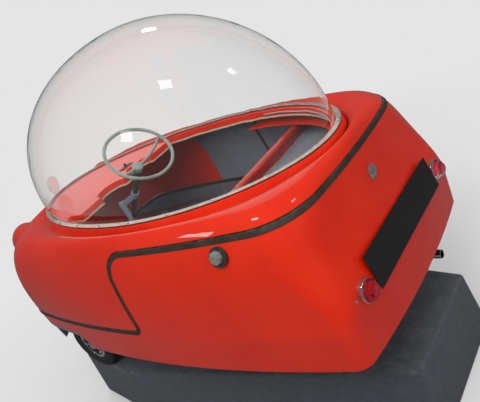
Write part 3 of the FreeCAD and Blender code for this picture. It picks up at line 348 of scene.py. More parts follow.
@dataclass(frozen=True)
class Surface:
    """What every finish has: a name, and a material that is built once.

    Attributes:
        name: the material's name.
    """

    name: str

    def material(self) -> bpy.types.Material:
        """Returns the finish as a material, built the first time that it is asked for."""
        if self.name in bpy.data.materials:
            return bpy.data.materials[self.name]
        made = bpy.data.materials.new(self.name)
        made.use_nodes = True
        made.diffuse_color = self.swatch()
        nodes = made.node_tree.nodes
        sheet = Sheet(made.node_tree)
        surface = self.shade(sheet, nodes["Principled BSDF"])
        sheet.link(surface, nodes["Material Output"].inputs["Surface"])
        return made

    def swatch(self) -> tuple[float, float, float, float]:
        """Returns the plain colour that stands for the finish in a viewport."""
        raise NotImplementedError

    def shade(self, sheet: Sheet, shader: bpy.types.Node) -> bpy.types.NodeSocket:
        """Makes the finish.

        Args:
            sheet: the material's nodes.
            shader: the surface shader that the material starts with.

        Returns:
            The finished surface.
        """
        raise NotImplementedError


@dataclass(frozen=True)
class Finish(Surface):
    """An opaque finish: a colour with patches, edges tinted for wear (on the yellowed strip a painted
    highlight), dust and a fine relief.

    Attributes:
        colour: the main colour.
        patch_colour: the colour that the patches tend to.
        patch_scale: how many patches there are in a metre.
        roughness: lowest and highest roughness.
        metallic: 1 for bare metal.
        coat: weight of the clear coat.
        coat_roughness: roughness of the clear coat.
        specular: how much the surface under the coat mirrors.
        sheen: weight of the sheen of cloth.
        relief: the kind of fine relief.
        relief_scale: how fine the relief is.
        relief_height: how high the relief is.
        edge_colour: the colour of edges with wear; on the yellowed strip, a painted highlight along
            its edges.
        edge_width: how wide the tinted edges (wear, and the strip's painted highlight) and the
            softened edges are.
        dust: how strongly dust shows.
    """

    colour: Colour
    patch_colour: Colour
    patch_scale: float = 6.0
    roughness: Row = (0.35, 0.5)
    metallic: float = 0.0
    coat: float = 0.0
    coat_roughness: float = 0.03
    specular: float = 0.5
    sheen: float = 0.0
    relief: Relief = Relief.RIPPLE
    relief_scale: float = 400.0
    relief_height: float = 0.0002
    edge_colour: Colour | None = None
    edge_width: float = 0.0
    dust: float = 0.0

    def swatch(self) -> tuple[float, float, float, float]:
        """Returns the main colour."""
        return (*self.colour, 1.0)

    def shade(self, sheet: Sheet, shader: bpy.types.Node) -> bpy.types.NodeSocket:
        """Sets and links one surface shader so that it shows this finish.

        Args:
            sheet: the material's nodes.
            shader: the surface shader.

        Returns:
            The shader's surface.
        """
        for name, value in (("Metallic", self.metallic), ("Coat Weight", self.coat),
                            ("Coat Roughness", self.coat_roughness),
                            ("Specular IOR Level", self.specular),
                            ("Sheen Weight", self.sheen)):
            shader.inputs[name].default_value = value
        mask = sheet.group(EFFECTS.patches(), Scale=self.patch_scale)
        colour = sheet.tint(mask, self.colour, self.patch_colour)
        # Edges tinted by edge_colour: wear on most finishes, a painted highlight on the yellowed
        # strip.
        if self.edge_colour is not None:
            edge_wear_and_highlight_mask = sheet.group(EFFECTS.edge_wear_and_highlight(), Width=self.edge_width)
            colour = sheet.tint(edge_wear_and_highlight_mask, colour, self.edge_colour)
        if self.dust > 0:
            share = sheet.math("MULTIPLY", sheet.group(EFFECTS.dust()), self.dust)
            colour = sheet.tint(share, colour, DUST_COLOUR)
        sheet.link(colour, shader.inputs["Base Color"])
        sheet.link(sheet.spread(mask, self.roughness), shader.inputs["Roughness"])
        fine = sheet.group(EFFECTS.relief(self.relief), Scale=self.relief_scale)
        bump = sheet.add("ShaderNodeBump", {"Strength": 1.0, "Distance": self.relief_height})
        sheet.link(fine, bump.inputs["Height"])
        if self.edge_width > 0:
            soft = sheet.add("ShaderNodeBevel", {"Radius": self.edge_width}, samples=6)
            sheet.link(soft.outputs[0], bump.inputs["Normal"])
        sheet.link(bump.outputs[0], shader.inputs["Normal"])
        return shader.outputs[0]


@dataclass(frozen=True)
class LinedFinish(Surface):
    """A shell's finish with a lining on the inner sides of its walls.

    Attributes:
        outer: the shell's own finish.
        lining: the finish of the inner sides.
        middle: a point inside the shell; a wall's inner side looks to it.
        top: the level at which the lining ends.
        front: the station at which the lining ends.
    """

    outer: Finish
    lining: Finish
    middle: tuple[float, float, float]
    top: float
    front: float

    def swatch(self) -> tuple[float, float, float, float]:
        """Returns the shell's main colour."""
        return self.outer.swatch()

    def shade(self, sheet: Sheet, shader: bpy.types.Node) -> bpy.types.NodeSocket:
        """Shades the shell and its lining and mixes them.

        Args:
            sheet: the material's nodes.
            shader: the surface shader of the shell.

        Returns:
            The mixed surface.
        """
        paint = self.outer.shade(sheet, shader)
        cloth = self.lining.shade(sheet, sheet.add("ShaderNodeBsdfPrincipled"))
        place = sheet.add("ShaderNodeTexCoord").outputs["Object"]
        reach = sheet.vector("SUBTRACT", place, self.middle).outputs[0]
        level_reach = sheet.vector("MULTIPLY", reach, (1.0, 1.0, 0.0)).outputs[0]
        normal = sheet.add("ShaderNodeNewGeometry").outputs["True Normal"]
        facing = sheet.vector("DOT_PRODUCT", level_reach, normal).outputs["Value"]
        inside = sheet.math("LESS_THAN", facing, INWARD_FACING)
        below = sheet.math("LESS_THAN", sheet.part(place, "Z"), self.top)
        behind = sheet.math("GREATER_THAN", sheet.part(place, "Y"), self.front)
        lined = sheet.math("MULTIPLY", inside, sheet.math("MULTIPLY", below, behind))
        return sheet.either(lined, paint, cloth)


@dataclass(frozen=True)
class ClearFinish(Surface):
    """A finish that light goes through, with smudges and a fine relief.

    Attributes:
        colour: the tint.
        roughness: lowest and highest roughness, from clean to smudged.
        bend: index of refraction.
        relief: the kind of fine relief.
        relief_scale: how fine the relief is.
        relief_height: how high the relief is.
        shadow_colour: what light the piece's own shadow lets through.
    """

    colour: Colour
    roughness: Row = (0.0, 0.03)
    bend: float = 1.49
    relief: Relief = Relief.RIPPLE
    relief_scale: float = 30.0
    relief_height: float = 0.00002
    shadow_colour: Colour = (0.9, 0.9, 0.9)

    def swatch(self) -> tuple[float, float, float, float]:
        """Returns the tint, half clear."""
        return (*self.colour, 0.4)

    def shade(self, sheet: Sheet, shader: bpy.types.Node) -> bpy.types.NodeSocket:
        """Sets and links a clear surface whose shadow lets light through.

        Args:
            sheet: the material's nodes.
            shader: the surface shader.

        Returns:
            The finished surface.
        """
        shader.inputs["Base Color"].default_value = (*self.colour, 1.0)
        shader.inputs["Transmission Weight"].default_value = 1.0
        shader.inputs["IOR"].default_value = self.bend
        mask = sheet.group(EFFECTS.patches(), Scale=SMUDGE_SCALE)
        sheet.link(sheet.spread(mask, self.roughness), shader.inputs["Roughness"])
        fine = sheet.group(EFFECTS.relief(self.relief), Scale=self.relief_scale)
        bump = sheet.add("ShaderNodeBump", {"Strength": 1.0, "Distance": self.relief_height})
        sheet.link(fine, bump.inputs["Height"])
        sheet.link(bump.outputs[0], shader.inputs["Normal"])
        shadow = sheet.add("ShaderNodeLightPath").outputs["Is Shadow Ray"]
        through = sheet.add("ShaderNodeBsdfTransparent", {"Color": (*self.shadow_colour, 1.0)})
        return sheet.either(shadow, shader.outputs[0], through.outputs[0])


BODY_RED = Finish("Gloss orange-red moulding", (0.72, 0.024, 0.004), (0.64, 0.017, 0.003),
                  patch_scale=2.5, roughness=(0.42, 0.5), coat=0.8, coat_roughness=0.03, specular=0.15,
                  relief_scale=160.0, relief_height=0.00005, edge_colour=(0.74, 0.06, 0.015),
                  edge_width=0.005)
CLEAR_BUBBLE = ClearFinish("Clear bubble sheet", (0.985, 0.99, 0.985), bend=1.32, relief_scale=5.0,
                           relief_height=0.00012, shadow_colour=(0.96, 0.96, 0.96))
SEAL_RUBBER = Finish("Brown-black seal rubber", (0.028, 0.019, 0.013), (0.05, 0.036, 0.026),
                     patch_scale=14.0, roughness=(0.45, 0.65), relief=Relief.CAST,
                     relief_scale=500.0, relief_height=0.0003, edge_colour=(0.09, 0.07, 0.055),
                     edge_width=0.003, dust=0.2)
TYRE_RUBBER = Finish("Tyre rubber", (0.016, 0.016, 0.017), (0.032, 0.031, 0.03), patch_scale=20.0,
                     roughness=(0.65, 0.85), relief=Relief.CAST, relief_scale=700.0,
                     relief_height=0.0004, edge_colour=(0.06, 0.058, 0.055), edge_width=0.002,
                     dust=0.25)
CHROME = Finish("Bright chrome", (0.8, 0.81, 0.82), (0.7, 0.71, 0.73), patch_scale=30.0,
                roughness=(0.05, 0.14), metallic=1.0, relief_scale=90.0, relief_height=0.00003,
                edge_width=0.001)
STEEL_SCREW = Finish("Zinc plated screw", (0.86, 0.86, 0.84), (0.7, 0.69, 0.67),
                     patch_scale=200.0, roughness=(0.2, 0.4), metallic=1.0, relief=Relief.CAST,
                     relief_scale=900.0, relief_height=0.0001)
PLINTH_CARPET = Finish("Dark grey ribbed carpet", (0.030, 0.036, 0.052), (0.055, 0.063, 0.085),
                       patch_scale=45.0, roughness=(0.9, 1.0), sheen=0.25, relief=Relief.PILE,
                       relief_scale=420.0, relief_height=0.003,
                       edge_colour=(0.30, 0.31, 0.33), edge_width=0.012, dust=0.12)
CABIN_CARPET = Finish("Blue-grey cabin carpet", (0.12, 0.15, 0.19), (0.18, 0.21, 0.26),
                      patch_scale=60.0, roughness=(0.85, 1.0), sheen=0.3, relief=Relief.PILE,
                      relief_scale=600.0, relief_height=0.002)
CABIN_RED = Finish("Red cabin moulding", (0.50, 0.022, 0.01), (0.40, 0.016, 0.008),
                   patch_scale=8.0, roughness=(0.25, 0.4), coat=0.5, coat_roughness=0.1,
                   relief_scale=200.0, relief_height=0.0001, edge_width=0.003, dust=0.1)
BEIGE_PIPING = Finish("Beige piping", (0.60, 0.50, 0.36), (0.46, 0.37, 0.25), patch_scale=40.0,
                      roughness=(0.4, 0.6), relief=Relief.LEATHER, relief_scale=900.0,
                      relief_height=0.0002, edge_width=0.003)
# Its edge_colour is a painted highlight: the strip's edges drawn near white where light catches the
# clear plastic.
STRIP_PLASTIC = Finish("Yellowed clear strip", (0.42, 0.36, 0.28), (0.32, 0.26, 0.2),
                       patch_scale=18.0, roughness=(0.12, 0.3), coat=0.8, coat_roughness=0.08,
                       relief_scale=150.0, relief_height=0.0001, edge_colour=(0.85, 0.82, 0.74),
                       edge_width=0.002, dust=0.1)
WHEEL_PLASTIC = Finish("Grey-green hard plastic", (0.23, 0.28, 0.24), (0.17, 0.21, 0.18),
                       patch_scale=16.0, roughness=(0.25, 0.42), coat=0.6, coat_roughness=0.12,
                       relief_scale=260.0, relief_height=0.0001, edge_colour=(0.34, 0.38, 0.33),
                       edge_width=0.0015)
SEAT_VINYL = Finish("Dark red vinyl", (0.17, 0.012, 0.012), (0.11, 0.008, 0.008),
                    patch_scale=10.0, roughness=(0.5, 0.65), relief=Relief.LEATHER,
                    relief_scale=420.0, relief_height=0.0006)
BLACK_PAINT = Finish("Black chassis paint", (0.02, 0.02, 0.022), (0.04, 0.038, 0.036),
                     patch_scale=25.0, roughness=(0.35, 0.6), relief=Relief.CAST,
                     relief_scale=300.0, relief_height=0.0002, edge_colour=(0.16, 0.15, 0.14),
                     edge_width=0.0015, dust=0.2)
TUBE_PAINT = Finish("Blue-grey tube paint", (0.19, 0.25, 0.31), (0.14, 0.19, 0.25),
                    patch_scale=20.0, roughness=(0.3, 0.45), coat=0.3, coat_roughness=0.2,
                    relief_scale=260.0, relief_height=0.0001, edge_colour=(0.35, 0.38, 0.4),
                    edge_width=0.0015)
CAST_ALLOY = Finish("Cast engine alloy", (0.42, 0.42, 0.41), (0.28, 0.27, 0.26),
                    patch_scale=22.0, roughness=(0.45, 0.7), metallic=1.0, relief=Relief.CAST,
                    relief_scale=260.0, relief_height=0.0009, edge_width=0.003, dust=0.25)
PLATE_BLACK = Finish("Black plate enamel", (0.006, 0.006, 0.007), (0.012, 0.012, 0.013),
                     patch_scale=9.0, roughness=(0.38, 0.52), relief_scale=120.0,
                     relief_height=0.00008, edge_colour=(0.05, 0.05, 0.05), edge_width=0.001)
CAP_PLASTIC = Finish("Grey filler cap", (0.20, 0.20, 0.19), (0.13, 0.13, 0.125),
                     patch_scale=60.0, roughness=(0.3, 0.5), relief=Relief.CAST,
                     relief_scale=500.0, relief_height=0.0001, edge_colour=(0.36, 0.36, 0.34),
                     edge_width=0.0015, dust=0.15)
DARK_PLASTIC = Finish("Dark moulded disc", (0.018, 0.018, 0.02), (0.035, 0.034, 0.033),
                      patch_scale=40.0, roughness=(0.35, 0.55), relief=Relief.CAST,
                      relief_scale=500.0, relief_height=0.0001, edge_width=0.0015, dust=0.15)
WHITE_CARD = Finish("White card", (0.92, 0.92, 0.9), (0.86, 0.86, 0.83), patch_scale=30.0,
                    roughness=(0.6, 0.75), relief=Relief.CAST, relief_scale=800.0,
                    relief_height=0.00005)
SILVER_STRIP = Finish("Silvery edge strip", (0.66, 0.67, 0.68), (0.5, 0.51, 0.53),
                      patch_scale=25.0, roughness=(0.22, 0.38), metallic=1.0,
                      relief_scale=300.0, relief_height=0.00005, edge_width=0.001)
RED_LENS = ClearFinish("Red lamp lens", (0.72, 0.012, 0.02), roughness=(0.02, 0.08),
                       relief=Relief.FLUTES, relief_scale=1400.0, relief_height=0.0008,
                       shadow_colour=(0.6, 0.05, 0.05))
CLEAR_LENS = ClearFinish("Clear lamp lens", (0.92, 0.92, 0.9), roughness=(0.02, 0.08),
                         relief=Relief.FLUTES, relief_scale=1400.0, relief_height=0.0008)
HEADLAMP_GLASS = ClearFinish("Fluted headlamp glass", (0.95, 0.96, 0.95), roughness=(0.01, 0.04),
                             relief=Relief.FLUTES, relief_scale=900.0, relief_height=0.0012)


# Modelling steps that all sub-assemblies share


class Bench:
    """The modelling steps: each piece starts as a primitive and is shaped in edit mode."""

    @staticmethod
    def clear() -> None:
        """Leaves edit mode and deselects everything."""
        if bpy.context.object and bpy.context.object.mode != "OBJECT":
            bpy.ops.object.mode_set(mode="OBJECT")
        bpy.ops.object.select_all(action="DESELECT")

    @staticmethod
    def pick(*pieces: bpy.types.Object) -> None:
        """Selects these pieces only and makes the first one active."""
        Bench.clear()
        for piece in pieces:
            piece.select_set(True)
        bpy.context.view_layer.objects.active = pieces[0]

    @staticmethod
    def edit(piece: bpy.types.Object, action: str = "SELECT") -> None:
        """Opens a piece in edit mode and selects all of it, or nothing with DESELECT."""
        Bench.pick(piece)
        bpy.ops.object.mode_set(mode="EDIT")
        bpy.ops.mesh.select_all(action=action)

    @staticmethod
    def profile(shares: Profile, radius: float, height: float = 1.0) -> list[Row]:
        """Returns the rows whose radii and heights are the given shares of these two."""
        return [(radius * wide, height * high) for wide, high in shares]

    @staticmethod
    def settle(piece: bpy.types.Object, smooth: float = 35.0) -> bpy.types.Object:
        """Puts a piece's place into its mesh and shades it smooth by angle.

        Args:
            piece: the piece.
            smooth: edges sharper than this angle stay sharp, in degrees.

        Returns:
            The same piece.
        """
        Bench.pick(piece)
        bpy.ops.object.transform_apply(location=True, rotation=True, scale=True)
        if len(piece.data.polygons):
            bpy.ops.object.shade_smooth_by_angle(angle=math.radians(smooth))
        Bench.clear()
        return piece

    @staticmethod
    def finish_modifiers(piece: bpy.types.Object) -> bpy.types.Object:
        """Applies all of a piece's modifiers in order."""
        Bench.pick(piece)
        for modifier in list(piece.modifiers):
            bpy.ops.object.modifier_apply(modifier=modifier.name)
        Bench.clear()
        return piece

    @staticmethod
    def outward(piece: bpy.types.Object) -> None:
        """Merges doubled points and turns all faces outwards."""
        Bench.edit(piece)
        bpy.ops.mesh.remove_doubles(threshold=MERGE_GAP)
        bpy.ops.mesh.normals_make_consistent(inside=False)
        Bench.clear()

    @staticmethod
    def joined(name: str, pieces: list[bpy.types.Object]) -> bpy.types.Object:
        """Joins pieces into one.

        Args:
            name: the joined piece's name.
            pieces: the pieces.

        Returns:
            The joined piece.
        """
        Bench.pick(*pieces)
        bpy.ops.object.join()
        whole = bpy.context.object
        whole.name = name
        whole.data.name = name
        Bench.clear()
        return whole

    @staticmethod
    def turned(name: str, rows: Profile, spot: Vector, axis: Vector, segments: int = 48,
               ring: bool = False) -> bpy.types.Object:
        """Models a round piece: a circle extruded and resized row by row along its axis.

        Args:
            name: the piece's name.
            rows: radius and height of each ring; a radius of 0 closes to a point.
            spot: where height 0 lies.
            axis: the way that heights grow.
            segments: points in each ring.
            ring: whether the last row joins the first, as on a tyre.

        Returns:
            The piece, with its place in its mesh.
        """
        Bench.clear()
        way = axis.normalized()
        turn = way.to_track_quat("Z", "Y").to_euler()
        radius, height = rows[0]
        start = max(radius, SMALLEST_RADIUS)
        bpy.ops.mesh.primitive_circle_add(vertices=segments, radius=start, fill_type="NOTHING",
                                          location=spot + way * height, rotation=turn)
        piece = bpy.context.object
        piece.name = name
        piece.data.name = name
        Bench.edit(piece)
        for (old, low), (new, high) in zip(rows, rows[1:]):
            step = way * (high - low)
            bpy.ops.mesh.extrude_region_move(TRANSFORM_OT_translate={"value": step})
            share = max(new, SMALLEST_RADIUS) / max(old, SMALLEST_RADIUS)
            bpy.ops.transform.resize(value=(share, share, share),
                                     center_override=spot + way * high)
        bpy.ops.object.mode_set(mode="OBJECT")
        if not ring:
            Bench._close_ends(piece, len(rows))
        Bench.settle(piece)
        Bench.outward(piece)
        return Bench.settle(piece)

    @staticmethod
    def _close_ends(piece: bpy.types.Object, rings: int) -> None:
        """Fills the open ring at each end of a turned piece.

        Args:
            piece: the piece, in object mode.
            rings: how many rings of points it has.
        """
        count = len(piece.data.vertices) // rings
        for first in (0, len(piece.data.vertices) - count):
            Bench.edit(piece, "DESELECT")
            bpy.ops.object.mode_set(mode="OBJECT")
            for index in range(first, first + count):
                piece.data.vertices[index].select = True
            for edge in piece.data.edges:
                edge.select = all(first <= index < first + count for index in edge.vertices)
            bpy.ops.object.mode_set(mode="EDIT")
            bpy.ops.mesh.edge_face_add()
            bpy.ops.object.mode_set(mode="OBJECT")

    @staticmethod
    def block(name: str, low: Vector, high: Vector, bevel: float,
              steps: int) -> bpy.types.Object:
        """Models a bevelled block between two corners.

        Args:
            name: the piece's name.
            low: lowest corner.
            high: highest corner.
            bevel: width of the rounded edges.
            steps: faces in each rounded edge.

        Returns:
            The piece, with its place in its mesh.
        """
        Bench.clear()
        bpy.ops.mesh.primitive_cube_add(size=1.0, location=(low + high) / 2)
        piece = bpy.context.object
        piece.name = name
        piece.scale = high - low
        Bench.settle(piece)
        Bench.edit(piece)
        bpy.ops.mesh.bevel(offset=bevel, segments=steps, affect="EDGES")
        Bench.clear()
        return Bench.settle(piece)

    @staticmethod
    def tube(name: str, points: list[Vector], diameter: float, closed: bool = False,
             steps: int = 12) -> bpy.types.Object:
        """Models a smooth tube through points.

        Args:
            name: the piece's name.
            points: control points of its centreline.
            diameter: its diameter.
            closed: whether its end joins its start.
            steps: divisions between two points.

        Returns:
            The tube as a mesh.
        """
        Bench.clear()
        line = bpy.data.curves.new(name, "CURVE")
        line.dimensions = "3D"
        line.bevel_depth = diameter / 2
        line.bevel_resolution = 4
        line.resolution_u = steps
        line.use_fill_caps = not closed
        spline = line.splines.new("NURBS")
        spline.points.add(len(points) - 1)
        for target, point in zip(spline.points, points):
            target.co = (*point, 1.0)
        spline.use_cyclic_u = closed
        spline.order_u = 3
        spline.use_endpoint_u = not closed
        piece = bpy.data.objects.new(name, line)
        bpy.context.scene.collection.objects.link(piece)
        Bench.pick(piece)
        bpy.ops.object.convert(target="MESH")
        return Bench.settle(bpy.context.object, 60.0)

    @staticmethod
    def copy_of(node: bpy.types.Object, name: str) -> bpy.types.Object:
        """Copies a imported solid's mesh as a new piece, its loose triangles merged.

        Args:
            node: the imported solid.
            name: the new piece's name.

        Returns:
            The new piece.
        """
        Bench.clear()
        piece = bpy.data.objects.new(name, node.data.copy())
        piece.data.name = name
        bpy.context.scene.collection.objects.link(piece)
        Bench.pick(piece)
        bpy.ops.mesh.customdata_custom_splitnormals_clear()
        Bench.edit(piece)
        bpy.ops.mesh.remove_doubles(threshold=PACKED_MERGE_GAP)
        Bench.clear()
        return piece

    @staticmethod
    def twin(piece: bpy.types.Object, name: str, move: Matrix) -> bpy.types.Object:
        """Copies a finished piece with its own mesh to another place.

        Args:
            piece: the piece to copy.
            name: the copy's name.
            move: how the copy is moved or mirrored.

        Returns:
            The copy.
        """
        made = bpy.data.objects.new(name, piece.data.copy())
        made.data.name = name
        made.data.transform(move)
        bpy.context.scene.collection.objects.link(made)
        if move.determinant() < 0:
            Bench.outward(made)
        return made

    @staticmethod
    def wear(piece: bpy.types.Object, finish: Surface) -> bpy.types.Object:
        """Gives a piece one finish all over."""
        piece.data.materials.clear()
        piece.data.materials.append(finish.material())
        return piece


class Skin:
    """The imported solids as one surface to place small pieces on."""

    def __init__(self, nodes: list[bpy.types.Object]) -> None:
        """Reads the surfaces of the given solids."""
        points: list[Vector] = []
        faces: list[list[int]] = []
        for node in nodes:
            first = len(points)
            points += [vertex.co.copy() for vertex in node.data.vertices]
            faces += [[first + index for index in face.vertices] for face in node.data.polygons]
        self.tree = BVHTree.FromPolygons(points, faces)

    def hit(self, start: Vector, way: Vector) -> tuple[Vector, Vector]:
        """Finds where a straight line first meets the surface.

        Args:
            start: where the line starts.
            way: its direction.

        Returns:
            The point and the surface's normal there.
        """
        point, normal, _, _ = self.tree.ray_cast(start, way)
        if point is None:
            raise ValueError(f"no surface from {start[:]} along {way[:]}")
        return point, normal


@dataclass
class SubAssembly:
    """What every sub-assembly has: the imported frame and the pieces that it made."""

    frame: dict
    made: list[bpy.types.Object] = field(default_factory=list)

    def node(self, name: str) -> bpy.types.Object:
        """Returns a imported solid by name."""
        return self.frame["nodes"][name]

    def dress(self, names: str, finish: Surface) -> None:
        """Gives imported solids, named in one string, a finish."""
        for name in names.split():
            Bench.wear(self.node(name), finish)

    def keep(self, piece: bpy.types.Object, body: str, finish: Surface | None,
             slot: str, replaces: str = "") -> bpy.types.Object:
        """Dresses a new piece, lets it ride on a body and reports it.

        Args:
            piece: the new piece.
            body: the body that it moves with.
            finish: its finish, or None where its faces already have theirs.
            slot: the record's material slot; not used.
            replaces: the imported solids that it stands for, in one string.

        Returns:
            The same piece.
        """
        if finish is not None:
            Bench.wear(piece, finish)
        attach(piece, body)
        if replaces:
            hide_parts(*replaces.split())
        self.made.append(piece)
        LOG.info("%s: %d faces", piece.name, len(piece.data.polygons))
        return piece


# Body shell


@dataclass
class BodyShell(SubAssembly):
    """The moulded tub and canopy frame, the seal between them and the cabin's lining."""

    seal_proud: float = 0.003
    lining_middle: tuple[float, float, float] = (0.0, 0.05, 0.7)
    lining_top: float = 0.915
    lining_front: float = -1.0
    frame_lining_top: float = 0.968
    frame_lining_front: float = -0.32

    def build(self) -> None:
        """Dresses the shell and models the seal."""
        ends = {"tub": (self.lining_top, self.lining_front),
                "canopy_frame": (self.frame_lining_top, self.frame_lining_front)}
        for name, (top, front) in ends.items():
            self.dress(name, LinedFinish("Moulding with carpeted walls, " + name, BODY_RED,
                                         CABIN_CARPET, self.lining_middle, top, front))
        self.dress("shelf_piping", BEIGE_PIPING)
        self.dress("canopy_hinge tub_hinge", CHROME)
        self.seal()

    def seal(self) -> None:
        """Models the rubber seal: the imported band, pushed out and rounded off."""
        piece = Bench.copy_of(self.node("seam_seal"), "seam_seal_bead")
        swell = piece.modifiers.new("Swell", "DISPLACE")
        swell.strength = self.seal_proud
        swell.mid_level = 0.0
        Bench.finish_modifiers(piece)
        Bench.settle(piece, 50.0)
        self.keep(piece, CAR, SEAL_RUBBER, "black_rubber", "seam_seal")


@dataclass
class Bubble(SubAssembly):
    """The clear bubble, its trim strip with a row of screws, and the disc inside it."""

    strip_wide: float = 0.017
    screw_count: int = 22
    screw_round: float = 0.0115
    disc_round: float = 0.092
    disc_way: tuple[float, float, float] = (0.085, -1.0, -0.01)
    disc_rise: float = 0.06
    strip_round: float = 0.007
    strip_drop: float = 0.018
    strip_sunk: float = 0.45
    strip_middle: float = 0.15
    strip_turns: Row = (20.0, 160.0)
    strip_steps: int = 24
    rim_steps: int = 720
    screw_profile: Profile = ((1.5, 0.0), (1.5, 0.0006), (1.05, 0.0008), (1.0, 0.0012),
                              (0.8, 0.0023), (0.35, 0.0029), (0.0, 0.003))
    disc_profile: Profile = ((0.97, 0.001), (1.0, 0.0015), (1.0, 0.0026), (0.96, 0.0034),
                             (0.9, 0.0034), (0.0, 0.0032))

    def build(self) -> None:
        """Dresses the bubble and models its small pieces."""
        self.dress("bubble", CLEAR_BUBBLE)
        self.dress("rim_strip", STRIP_PLASTIC)
        self.screws()
        self.notice_disc()
        self.inner_strip()

    def inner_strip(self) -> None:
        """Models the silvery strip that follows the inner side of the rim round the rear."""
        skin = Skin([self.node("canopy_frame")])
        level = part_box("rim_strip")[0].z - self.strip_drop
        start = Vector((0, self.strip_middle, level))
        first, last = self.strip_turns
        points = []
        for step in range(self.strip_steps + 1):
            turn = math.radians(first + step * (last - first) / self.strip_steps)
            way = Vector((math.cos(turn), math.sin(turn), 0))
            points.append(skin.hit(start, way)[0] - way * self.strip_round * self.strip_sunk)
        piece = Bench.tube("rear_inner_strip", points, self.strip_round)
        self.keep(piece, CANOPY, SILVER_STRIP, "chrome")

    def rim_point(self, turn: float) -> Vector:
        """Returns the point in the middle of the strip's top at an angle round the rim."""
        low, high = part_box("rim_strip")
        strip = self.node("rim_strip")
        widest = max(strip.data.vertices, key=lambda vertex: vertex.co.x).co
        margin = self.strip_wide / 2
        across = high.x - margin
        along = (high.y - widest.y if math.sin(turn) > 0 else widest.y - low.y) - margin
        return Vector((across * math.cos(turn), widest.y + along * math.sin(turn), high.z))

    def screws(self) -> None:
        """Models one screw and copies it at even distances round the strip."""
        steps = self.rim_steps
        points = [self.rim_point(2 * math.pi * step / steps) for step in range(steps + 1)]
        lengths = [0.0]
        for first, second in zip(points, points[1:]):
            lengths.append(lengths[-1] + (second - first).length)
        rows = Bench.profile(self.screw_profile, self.screw_round / 2)
        first = Bench.turned("rim_screw", rows, Vector(), UP, 16)
        copies = []
        for number in range(self.screw_count):
            target = lengths[-1] * (number + 0.5) / self.screw_count
            index = next(step for step, length in enumerate(lengths) if length >= target)
            copies.append(Bench.twin(first, f"rim_screw_{number}", Matrix.Translation(points[index])))
        bpy.data.objects.remove(first)
        self.keep(Bench.joined("rim_screws", copies), CANOPY, STEEL_SCREW, "chrome")

    def notice_disc(self) -> None:
        """Models the blank white disc stuck inside the bubble's front."""
        low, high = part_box("bubble")
        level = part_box("rim_strip")[1].z + self.disc_rise
        middle = Vector((0, (low.y + high.y) / 2, level))
        point, normal = Skin([self.node("bubble")]).hit(middle, Vector(self.disc_way))
        inward = normal if normal.dot(middle - point) > 0 else -normal
        rows = Bench.profile(self.disc_profile, self.disc_round / 2)
        piece = Bench.turned("notice_disc", rows, point, inward, 40)
        self.keep(piece, CANOPY, WHITE_CARD, "trim_plastic")


@dataclass
class Headlamps(SubAssembly):
    """Both headlamps: a rounded chrome rim, a bowl and a fluted glass."""

    rim_wide: float = 0.011
    glass_gap: float = 0.0005
    glass_back: float = 0.006
    glass_front: float = 0.003
    glass_bow: float = 0.016
    glass_shares: tuple[float, ...] = (1.0, 0.9, 0.75, 0.55, 0.3, 0.0)
    bowl_front: float = 0.007
    bowl_deep: float = 0.024
    bowl_shares: tuple[float, ...] = (1.0, 0.85, 0.65, 0.4, 0.2, 0.0)

    @staticmethod
    def dome(wide: float, place: float, bow: float, shares: tuple[float, ...]) -> list[Row]:
        """Returns the rows of a dome that starts at a place and bows out by the given height."""
        return [(wide * share, place + bow * (1 - share * share)) for share in shares]

    def build(self) -> None:
        """Models the left headlamp and mirrors it."""
        low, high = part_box("headlamp_rings")
        radius = (high.z - low.z) / 2
        spot = Vector((high.x - radius, high.y, (high.z + low.z) / 2))
        front = high.y - low.y
        inner = radius - self.rim_wide
        wide = inner - self.glass_gap
        rim_rows = [(inner, 0.0), (radius - 0.001, 0.0), (radius, 0.003), (radius, front - 0.006),
                    (radius - 0.003, front - 0.001), (radius - 0.006, front),
                    (inner + 0.001, front - 0.002), (inner, front - 0.005), (inner, 0.0)]
        glass_rows = [(wide, front - self.glass_back)]
        glass_rows += self.dome(wide, front - self.glass_front, self.glass_bow, self.glass_shares)
        bowl_rows = self.dome(wide, front - self.bowl_front, -self.bowl_deep, self.bowl_shares)
        parts = (
            ("headlamp_rim", rim_rows, CHROME, "chrome", "headlamp_rings", True),
            ("headlamp_glass", glass_rows, HEADLAMP_GLASS, "lamp_glass", "headlamp_glasses", False),
            ("headlamp_bowl", bowl_rows, CHROME, "chrome", "", False),
        )
        for name, rows, finish, slot, replaces, ring in parts:
            left = Bench.turned(name + "_left", rows, spot, FORWARD, 64, ring)
            right = Bench.twin(left, name + "_right", Matrix.Scale(-1, 4, (1, 0, 0)))
            Bench.settle(right)
            self.keep(left, CANOPY, finish, slot, replaces)
            self.keep(right, CANOPY, finish, slot, replaces)


# Tail


